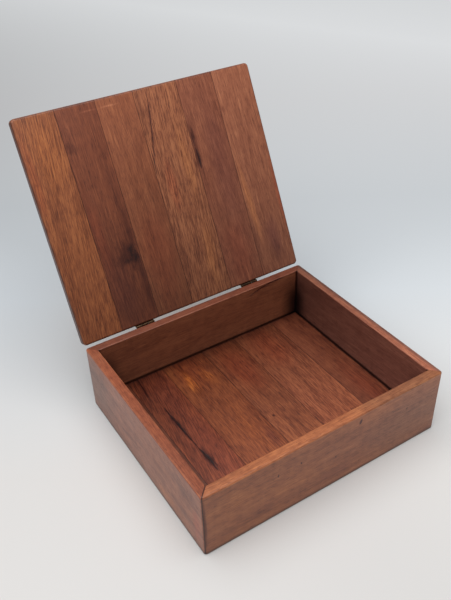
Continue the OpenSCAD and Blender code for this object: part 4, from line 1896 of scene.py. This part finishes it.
@dataclass
class Lid:
    """The lid: a panel of six boards with rounded edges and corners.

    Args:
        plan: The box's main sizes.
        thickness: The lid's thickness.
        lip: How far the closed lid stands past the front wall.
        gap: Clearance between the closed lid and the walls.
        edge: Radius of the edges.
        corner: Radius of the corners, seen from above.
        seam: Easing of the glued joints.
        arc_steps: Straight pieces in each eighth of a circle.
        spacing: Distance between the lines across the flat faces.
        support: Distance of the extra lines beside the arcs.
        count: How many boards there are.
    """

    plan: BoxPlan
    thickness: float = 12 * MM
    lip: float = 5 * MM
    gap: float = 0.3 * MM
    edge: float = 2.5 * MM
    corner: float = 5 * MM
    seam: float = 0.14 * MM
    arc_steps: int = 6
    spacing: float = 12 * MM
    support: float = 0.4 * MM
    count: int = 6

    WEAR: ClassVar[Colour] = (0.52, 0.46, 0.48)
    WEAR_REACH: ClassVar[float] = 2.8 * MM
    DRILLED: ClassVar[dict[int, Side]] = {2: Side.LEFT, 5: Side.RIGHT}
    ROUND_TO: ClassVar[int] = 9

    @property
    def half(self) -> Vector:
        """Half the panel's width, length and thickness."""
        size = self.plan.size
        return Vector((size.x, size.y + self.lip, self.thickness)) / 2

    def round_point(self, point: Vector, inset: float) -> Vector:
        """Move a point of the panel's sharp block onto the rounded panel.

        Args:
            point: The point on the block, from the panel's centre.
            inset: How far below the rounded face it ends.

        Returns:
            The moved point.
        """
        half, radius = self.half, self.edge
        flat = Vector((
            max(-half.x + self.corner, min(half.x - self.corner, point.x)),
            max(-half.y + self.corner, min(half.y - self.corner, point.y)),
        ))
        away = Vector(point.xy) - flat
        spare = self.corner - radius
        if away.length > spare:
            flat += away.normalized() * spare
        else:
            flat = Vector(point.xy)
        level = half.z - radius
        core = Vector((flat.x, flat.y, max(-level, min(level, point.z))))
        return core + (point - core).normalized() * (radius - inset)

    def lines(self, half: float, radii: Sequence[float]) -> list[float]:
        """Lines between two opposite faces, which spread evenly over the arcs at both.

        Args:
            half: Half the distance between the faces.
            radii: The radii of the arcs.

        Returns:
            The coordinates in order.
        """
        near = {0.0}
        for radius in radii:
            for step in range(1, self.arc_steps + 1):
                near.add(round(radius - radius * math.tan(MITRE * step / self.arc_steps), self.ROUND_TO))
            near |= {radius, radius + self.support}
        edge = sorted(near)
        inner = half - edge[-1]
        steps = max(1, round(2 * inner / self.spacing))
        middle = [-inner + 2 * inner * step / steps for step in range(1, steps)]
        return [-half + d for d in edge] + middle + [half - d for d in reversed(edge)]

    def board_mesh(self, low: float, high: float) -> bpy.types.Mesh:
        """The mesh of the board between two lines across the panel.

        Args:
            low: Its left side, from the panel's centre.
            high: Its right side.

        Returns:
            The mesh, in the panel's own directions.
        """
        half, seam = self.half, self.seam
        limit = half.x - Shape.MERGE
        first, last = low <= -limit, high >= limit
        xs = self.lines(half.x, (self.corner, self.edge))
        stations = [(-half.x, 0.0)] if first else [(low, seam), (low + seam, 0.0)]
        stations += [(x, 0.0) for x in xs if low + seam < x < high - seam and abs(x) < limit]
        stations += [(half.x, 0.0)] if last else [(high - seam, 0.0), (high, seam)]
        ys = self.lines(half.y, (self.corner, self.edge))
        zs = self.lines(half.z, (self.edge,))
        ring = [(y, half.z) for y in ys] + [(half.y, z) for z in reversed(zs[:-1])]
        ring += [(y, -half.z) for y in reversed(ys[:-1])] + [(-half.y, z) for z in zs[1:-1]]
        shell = bmesh.new()
        rows = [
            [shell.verts.new(self.round_point(Vector((x, y, z)), inset)) for y, z in ring]
            for x, inset in stations
        ]
        Shape.skin(shell, rows, closed=True)
        for outer, x, row in ((first, -half.x, rows[0]), (last, half.x, rows[-1])):
            if not outer:
                shell.faces.new(row)
                continue
            cap = [[shell.verts.new(self.round_point(Vector((x, y, z)), 0.0)) for z in zs] for y in ys]
            Shape.skin(shell, cap, closed=False)
        return Shape.finish(shell)

    def build(self) -> None:
        """Build and dress the six boards, in the lid's open place."""
        plan, half = self.plan, self.half
        closed = Vector((plan.centre.x, plan.high.y - half.y, plan.high.z + self.gap + half.z))
        move = plan.opening() @ Matrix.Translation(closed)
        down, right = move.to_3x3() @ Vector((0, 1, 0)), move.to_3x3() @ Vector((1, 0, 0))
        panel = Place(move.translation, down, right)
        for number in range(1, self.count + 1):
            node = f"lid_board_{number}"
            low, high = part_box(node)
            mesh = self.board_mesh(low.x - closed.x, high.x - closed.x)
            mesh.transform(move)
            if number in self.DRILLED:
                mesh = Shape.drilled(mesh, plan.screw_places(self.DRILLED[number], Body.LID), plan.sizes)
            middle = (low.x + high.x) / 2 - closed.x
            dress = WoodDress(
                LID_WOODS[number - 1], Place(move @ Vector((middle, 0, 0)), down, right),
                Vector((half.y, (high.x - low.x) / 2, half.z)), Joint.GLUED, panel,
                Vector((half.y, half.x, half.z)), wear=self.WEAR, wear_reach=self.WEAR_REACH,
            )
            Shape.piece(f"{node}_solid", mesh, dress.material(f"{node}_wood"), Body.LID, node)


class TurnedTree:
    """A geometry node tree of a round piece, turned step by step on its Z axis."""

    SEGMENTS: ClassVar[int] = 32
    FLOAT: ClassVar[str] = "NodeSocketFloat"
    WHOLE: ClassVar[str] = "NodeSocketInt"

    def __init__(self, title: str, sizes: Mapping[str, float], counts: Mapping[str, int]) -> None:
        """Start a tree.

        Args:
            title: The tree's name.
            sizes: The named sizes it takes, with their defaults.
            counts: The whole numbers it takes, with their defaults.
        """
        self.tree = bpy.data.node_groups.new(title, "GeometryNodeTree")
        self.tree.is_modifier = True
        face = self.tree.interface
        face.new_socket(name="Geometry", in_out="OUTPUT", socket_type="NodeSocketGeometry")
        for kind, values in ((self.FLOAT, sizes), (self.WHOLE, counts)):
            for name, value in values.items():
                face.new_socket(name=name, in_out="INPUT", socket_type=kind).default_value = value
        face.new_socket(name="Material", in_out="INPUT", socket_type="NodeSocketMaterial")
        self.graph = Graph(self.tree)
        self.given = self.graph.outs("NodeGroupInput")

    def turned(self, first: Wire, steps: Sequence[tuple[Input, Input]]) -> Wire:
        """A closed round body that starts as a disc and grows by rings.

        Args:
            first: The first disc's radius.
            steps: For each further ring its rise along Z and its radius.

        Returns:
            The body's mesh.
        """
        graph = self.graph
        disc = graph.out(
            "GeometryNodeMeshCircle", {"Vertices": self.SEGMENTS, "Radius": first}, fill_type="NGON"
        )
        flipped = graph.out("GeometryNodeFlipFaces", {"Mesh": disc})
        body, radius, top = disc, first, {}
        for rise, target in steps:
            inputs = {"Mesh": body, "Offset": graph.join(0.0, 0.0, rise), "Offset Scale": 1.0, **top}
            grown = graph.outs("GeometryNodeExtrudeMesh", inputs, mode="FACES")
            top = {"Selection": grown["Top"]}
            inputs = {"Geometry": grown["Mesh"], "Scale": target / radius, **top}
            body = graph.out("GeometryNodeScaleElements", inputs, domain="FACE")
            radius = target
        both = graph.add("GeometryNodeJoinGeometry")
        for part in (body, flipped):
            graph.feed(both.inputs[0], part)
        inputs = {"Geometry": Wire(graph, both.outputs[0]), "Distance": Shape.MERGE}
        return graph.out("GeometryNodeMergeByDistance", inputs)

    def close(self, geometry: Wire) -> bpy.types.NodeTree:
        """End the tree with Realize Instances and Set Material.

        Args:
            geometry: The last geometry.

        Returns:
            The finished tree.
        """
        graph = self.graph
        real = graph.out("GeometryNodeRealizeInstances", {0: geometry})
        inputs = {"Geometry": real, "Material": self.given["Material"]}
        graph.add("NodeGroupOutput", {0: graph.out("GeometryNodeSetMaterial", inputs)})
        return self.tree

    @staticmethod
    def mesh(tree: bpy.types.NodeTree, values: Mapping[str, object]) -> bpy.types.Mesh:
        """Run a tree with its inputs set.

        Args:
            tree: The tree.
            values: Values by input name.

        Returns:
            The resulting plain mesh.
        """
        helper = linked("helper", bpy.data.meshes.new("helper"))
        modifier = helper.modifiers.new("turned", "NODES")
        modifier.node_group = tree
        for item in tree.interface.items_tree:
            if item.item_type == "SOCKET" and item.in_out == "INPUT" and item.name in values:
                modifier[item.identifier] = values[item.name]
        mesh = Shape.baked(helper)
        shell = bmesh.new()
        shell.from_mesh(mesh)
        bmesh.ops.recalc_face_normals(shell, faces=shell.faces)
        return Shape.smooth(Shape.store(shell, mesh))


class ScrewRow:
    """The tree that makes a leaf's row of slotted screws."""

    BEVEL: ClassVar[float] = 0.08 * MM
    TIP: ClassVar[float] = 0.2
    TURN: ClassVar[float] = 0.6
    SLOT_LONG: ClassVar[float] = 3.0
    SLOT_DEEP: ClassVar[float] = 2.0
    # The random value's sockets for numbers, which share their names with those for vectors
    LEAST: ClassVar[int] = 2
    MOST: ClassVar[int] = 3
    RANDOM_NUMBER: ClassVar[int] = 1
    SIZES: ClassVar[dict[str, float]] = {
        "Head Radius": 2 * MM, "Shank Radius": 1.1 * MM, "Length": 9.5 * MM, "Point": 2 * MM,
        "Slot Width": HALF * MM, "Slot Depth": 0.4 * MM, "Spacing": 16 * MM,
    }
    COUNTS: ClassVar[dict[str, int]] = {"Count": 2, "Seed": 1}

    @classmethod
    def tree(cls) -> bpy.types.NodeTree:
        """Build the tree.

        Returns:
            The tree, with its sizes as named inputs.
        """
        work = TurnedTree("Slotted screws", cls.SIZES, cls.COUNTS)
        graph, given = work.graph, work.given
        head, shank, spacing = given["Head Radius"], given["Shank Radius"], given["Spacing"]
        cone = head - shank - cls.BEVEL
        straight = given["Length"] - given["Point"] - cone - cls.BEVEL
        screw = work.turned(head - cls.BEVEL, [
            (cls.BEVEL, head), (cone, shank), (straight, shank), (given["Point"], shank * cls.TIP),
        ])
        size = graph.join(head * cls.SLOT_LONG, given["Slot Width"], given["Slot Depth"] * cls.SLOT_DEEP)
        slot = graph.out("GeometryNodeMeshCube", {"Size": size})
        cut = graph.out(
            "GeometryNodeMeshBoolean", {"Mesh 1": screw, "Mesh 2": slot}, "Mesh",
            operation="DIFFERENCE", solver="EXACT",
        )
        start = (given["Count"] - 1.0) * spacing * -HALF
        row = graph.out("GeometryNodeMeshLine", {
            "Count": given["Count"], "Start Location": graph.join(start, 0.0, 0.0),
            "Offset": graph.join(spacing, 0.0, 0.0),
        }, mode="OFFSET")
        turns = {cls.LEAST: -cls.TURN, cls.MOST: cls.TURN, "Seed": given["Seed"]}
        turn = graph.out("FunctionNodeRandomValue", turns, cls.RANDOM_NUMBER, data_type="FLOAT")
        inputs = {"Points": row, "Instance": cut, "Rotation": graph.join(0.0, 0.0, turn)}
        return work.close(graph.out("GeometryNodeInstanceOnPoints", inputs))


class PinRod:
    """The tree that makes a hinge's pin, with a domed head at both ends."""

    CROWN: ClassVar[float] = 0.6
    SIZES: ClassVar[dict[str, float]] = {
        "Rod Radius": 0.9 * MM, "Head Radius": 1.3 * MM, "Head Depth": HALF * MM, "Length": 25.4 * MM,
    }

    @classmethod
    def tree(cls) -> bpy.types.NodeTree:
        """Build the tree.

        Returns:
            The tree, with its sizes as named inputs.
        """
        work = TurnedTree("Hinge pin", cls.SIZES, {})
        given = work.given
        head, rod, part = given["Head Radius"], given["Rod Radius"], given["Head Depth"] * HALF
        crown = head * cls.CROWN
        return work.close(work.turned(crown, [
            (part, head), (part, head), (0.0, rod), (given["Length"], rod), (0.0, head), (part, head),
            (part, crown),
        ]))


@dataclass
class Hinges:
    """The two hinges: leaves, pins and screws.

    Args:
        plan: The box's main sizes and its hinge line.
        brass: The look of the metal.
    """

    plan: BoxPlan
    brass: BrassFinish = BrassFinish()

    BEVEL_ANGLE: ClassVar[float] = math.radians(40)
    BEVEL_STEPS: ClassVar[int] = 2
    FLAT_ANGLE: ClassVar[float] = math.radians(0.5)
    BARREL_REACH: ClassVar[float] = 2.0 * MM
    HOLE_REACH: ClassVar[float] = 2.1 * MM
    SEEDS: ClassVar[dict[Body, int]] = {Body.LID: 3, Body.BOX: 6}

    def on_rim(self, point: Vector) -> bool:
        """Whether a point of a leaf lies away from the barrel and from every screw hole.

        Args:
            point: The point.

        Returns:
            True where the leaf's edges may be eased.
        """
        pin = self.plan.pin
        if math.hypot(point.y - pin.y, point.z - pin.z) <= self.BARREL_REACH:
            return False
        places = [place for side in Side for body in Body for place in self.plan.screw_places(side, body)]
        spots = [place.inverted() @ point for place in places]
        return all(math.hypot(spot.x, spot.y) > self.HOLE_REACH for spot in spots)

    def leaf_mesh(self, node: str) -> bpy.types.Mesh:
        """A leaf with the sheared edges of its plate eased.

        Args:
            node: The leaf's node in the frame.

        Returns:
            The mesh.
        """
        shell = bmesh.new()
        shell.from_mesh(frame["nodes"][node].data)
        bmesh.ops.remove_doubles(shell, verts=shell.verts, dist=Shape.MERGE)
        bmesh.ops.dissolve_limit(
            shell, angle_limit=self.FLAT_ANGLE, verts=shell.verts, edges=shell.edges
        )
        bmesh.ops.dissolve_degenerate(shell, edges=shell.edges, dist=Shape.MERGE)
        bmesh.ops.recalc_face_normals(shell, faces=shell.faces)
        rim = [
            edge for edge in shell.edges
            if edge.calc_face_angle(0.0) > self.BEVEL_ANGLE and all(self.on_rim(v.co) for v in edge.verts)
        ]
        bmesh.ops.bevel(
            shell, geom=rim, offset=self.plan.sizes.leaf_ease, offset_type="OFFSET",
            segments=self.BEVEL_STEPS, profile=HALF, affect="EDGES", clamp_overlap=True,
        )
        return Shape.finish(shell)

    def build(self) -> None:
        """Build and dress both hinges."""
        brass = BrassDress.material("hinge_brass", self.brass)
        screws, rod = ScrewRow.tree(), PinRod.tree()
        sizes = self.plan.sizes
        for side in Side:
            name = f"{side.name.lower()}_hinge"
            for body in Body:
                leaf = f"{name}_{body.value}_leaf"
                Shape.piece(f"{leaf}_brass", self.leaf_mesh(leaf), brass, body, leaf)
                mesh = TurnedTree.mesh(screws, {
                    "Head Radius": sizes.screw_head / 2, "Shank Radius": sizes.screw_shank / 2,
                    "Length": sizes.screw_length, "Point": sizes.screw_point,
                    "Slot Width": sizes.slot_width, "Slot Depth": sizes.slot_depth,
                    "Spacing": sizes.screw_spacing, "Count": sizes.screw_count,
                    "Seed": side.value + self.SEEDS[body], "Material": brass,
                })
                first, second = self.plan.screw_places(side, body)
                mesh.transform(first.lerp(second, HALF) @ Matrix.Translation((0, 0, -sizes.leaf)))
                node = f"{name}_{body.value}_screws"
                Shape.piece(f"{node}_brass", mesh, brass, body, node)
            mesh = TurnedTree.mesh(rod, {
                "Rod Radius": sizes.pin / 2, "Head Radius": sizes.head / 2,
                "Head Depth": sizes.head_depth, "Length": sizes.length, "Material": brass,
            })
            spot = self.plan.pin + Vector((side.value * self.plan.hinge_offset, 0, 0))
            start = Matrix.Translation((0, 0, -sizes.length / 2 - sizes.head_depth))
            mesh.transform(Matrix.Translation(spot) @ Matrix.Rotation(SQUARE, 4, "Y") @ start)
            Shape.piece(f"{name}_pin_brass", mesh, brass, Body.BOX, f"{name}_pin")


@dataclass(frozen=True)
class ViewPoint:
    """Where the picture is taken from. Angles are degrees."""

    place: Point3 = (-0.3733, -0.6048, 0.6578)
    turn: float = -31.52
    tilt: float = 53.77
    roll: float = -1.925
    lens: float = 44.17
    sensor: float = 36.0

    def build(self) -> None:
        """Make the camera and choose it for the scene."""
        data = bpy.data.cameras.new("view")
        data.lens = self.lens
        data.sensor_width = self.sensor
        data.sensor_fit = "AUTO"
        camera = linked("view", data)
        matrix = Matrix.Translation(self.place)
        for angle, axis in ((self.turn, "Z"), (self.tilt, "X"), (self.roll, "Z")):
            matrix = matrix @ Matrix.Rotation(math.radians(angle), 4, axis)
        camera.matrix_world = matrix
        bpy.context.scene.camera = camera


@dataclass(frozen=True)
class Studio:
    """A pale floor and soft light from above.

    The floor's tones stand at distances away from the camera. Each bounce is a faint light spot on
    the floor: its place, its reach and its colour.
    """

    floor_size: float = 12.0
    floor_cells: int = 8
    floor_roughness: float = 0.9
    floor_tones: tuple[tuple[float, Colour], ...] = (
        (-0.15, (0.725, 0.71, 0.695)),
        (0.2, (0.69, 0.73, 0.765)),
        (0.5, (0.61, 0.64, 0.665)),
        (1.0, (0.65, 0.645, 0.65)),
        (1.8, (0.7, 0.7, 0.7)),
    )
    sky: Colour = (0.95, 0.98, 1.0)
    sky_strength: float = 0.2
    glow: Colour = (0.98, 1.0, 1.02)
    glow_strength: float = 0.46
    glow_start: float = 0.15
    glow_end: float = 1.5
    glow_turn: float = 28.6
    bounces: tuple[tuple[Point3, float, Colour], ...] = (
        ((0.02, 0.19, 0.0), 0.24, (0.1, 0.072, 0.05)),
        ((0.42, -0.3, 0.0), 0.5, (0.18, 0.175, 0.165)),
    )
    far_start: float = 2.1
    far_end: float = 5.0
    lamp_size: float = 1.7
    lamp_power: float = 21.0
    lamp_place: Point3 = (-0.3, -0.2, 1.2)
    lamp_aim: Point3 = (0.0, 0.0, 0.1)

    def floor_material(self) -> bpy.types.Material:
        """The floor's paper, which cools and darkens a little away from the front.

        Returns:
            The material.
        """
        coat = Coat("studio_paper")
        graph, where = coat.graph, coat.where
        turn = math.radians(ViewPoint().turn)
        far = graph.math("DOT_PRODUCT", where, Vector((-math.sin(turn), math.cos(turn), 0.0)))
        colour: Input = (*self.floor_tones[0][1], 1.0)
        for (start, _), (end, tone) in zip(self.floor_tones, self.floor_tones[1:]):
            colour = graph.mix(far.line(start, end), colour, (*tone, 1.0))
        far_away = graph.math("LENGTH", where).ramp(self.far_start, self.far_end)

        turn = math.radians(self.glow_turn)
        lift = graph.math("DOT_PRODUCT", where, Vector((math.cos(turn), math.sin(turn), 0.0)))
        light = lift.line(self.glow_start, self.glow_end, 0.0, self.glow_strength) * self.glow
        for place, reach, tone in self.bounces:
            light = light + graph.math("LENGTH", where - place).ramp(reach, 0.0) * tone
        sky = (*(part * self.sky_strength for part in self.sky), 1.0)
        path = graph.outs("ShaderNodeLightPath")
        seen = graph.math("MAXIMUM", path["Is Camera Ray"], path["Is Glossy Ray"])
        return coat.close({
            "Base Color": colour.tint(far_away, BLACK), "Emission Color": graph.mix(far_away, light, sky),
            "Emission Strength": graph.math("MAXIMUM", seen, path["Is Transmission Ray"]),
            "Roughness": self.floor_roughness, "Specular IOR Level": 0.0,
        })

    def world(self) -> None:
        """Weak, even light from all around."""
        world = bpy.data.worlds.new("studio")
        bpy.context.scene.world = world
        world.use_nodes = True
        shader = world.node_tree.nodes["Background"]
        shader.inputs["Color"].default_value = (*self.sky, 1.0)
        shader.inputs["Strength"].default_value = self.sky_strength

    def build(self) -> None:
        """Make the floor, the lamp and the world."""
        bpy.context.scene.view_settings.view_transform = "Standard"
        shell = bmesh.new()
        cells = self.floor_cells
        bmesh.ops.create_grid(shell, x_segments=cells, y_segments=cells, size=self.floor_size / 2)
        mesh = Shape.store(shell, bpy.data.meshes.new("studio_floor"))
        mesh.materials.append(self.floor_material())
        linked("studio_floor", mesh)

        light = bpy.data.lights.new("soft_lamp", "AREA")
        light.shape = "SQUARE"
        light.size = self.lamp_size
        light.energy = self.lamp_power
        lamp = linked("soft_lamp", light)
        lamp.location = self.lamp_place
        aim = Vector(self.lamp_aim) - Vector(self.lamp_place)
        lamp.rotation_euler = aim.to_track_quat("-Z", "Y").to_euler()
        self.world()


def main() -> None:
    """Build every sub-assembly in order, the studio and the camera."""
    logging.basicConfig(level=logging.INFO, format="%(name)s: %(message)s")
    plan = BoxPlan.read()
    Walls(plan).build()
    Floor(plan).build()
    Lid(plan).build()
    Hinges(plan).build()
    Studio().build()
    ViewPoint().build()


if __name__ == "__main__":
    main()
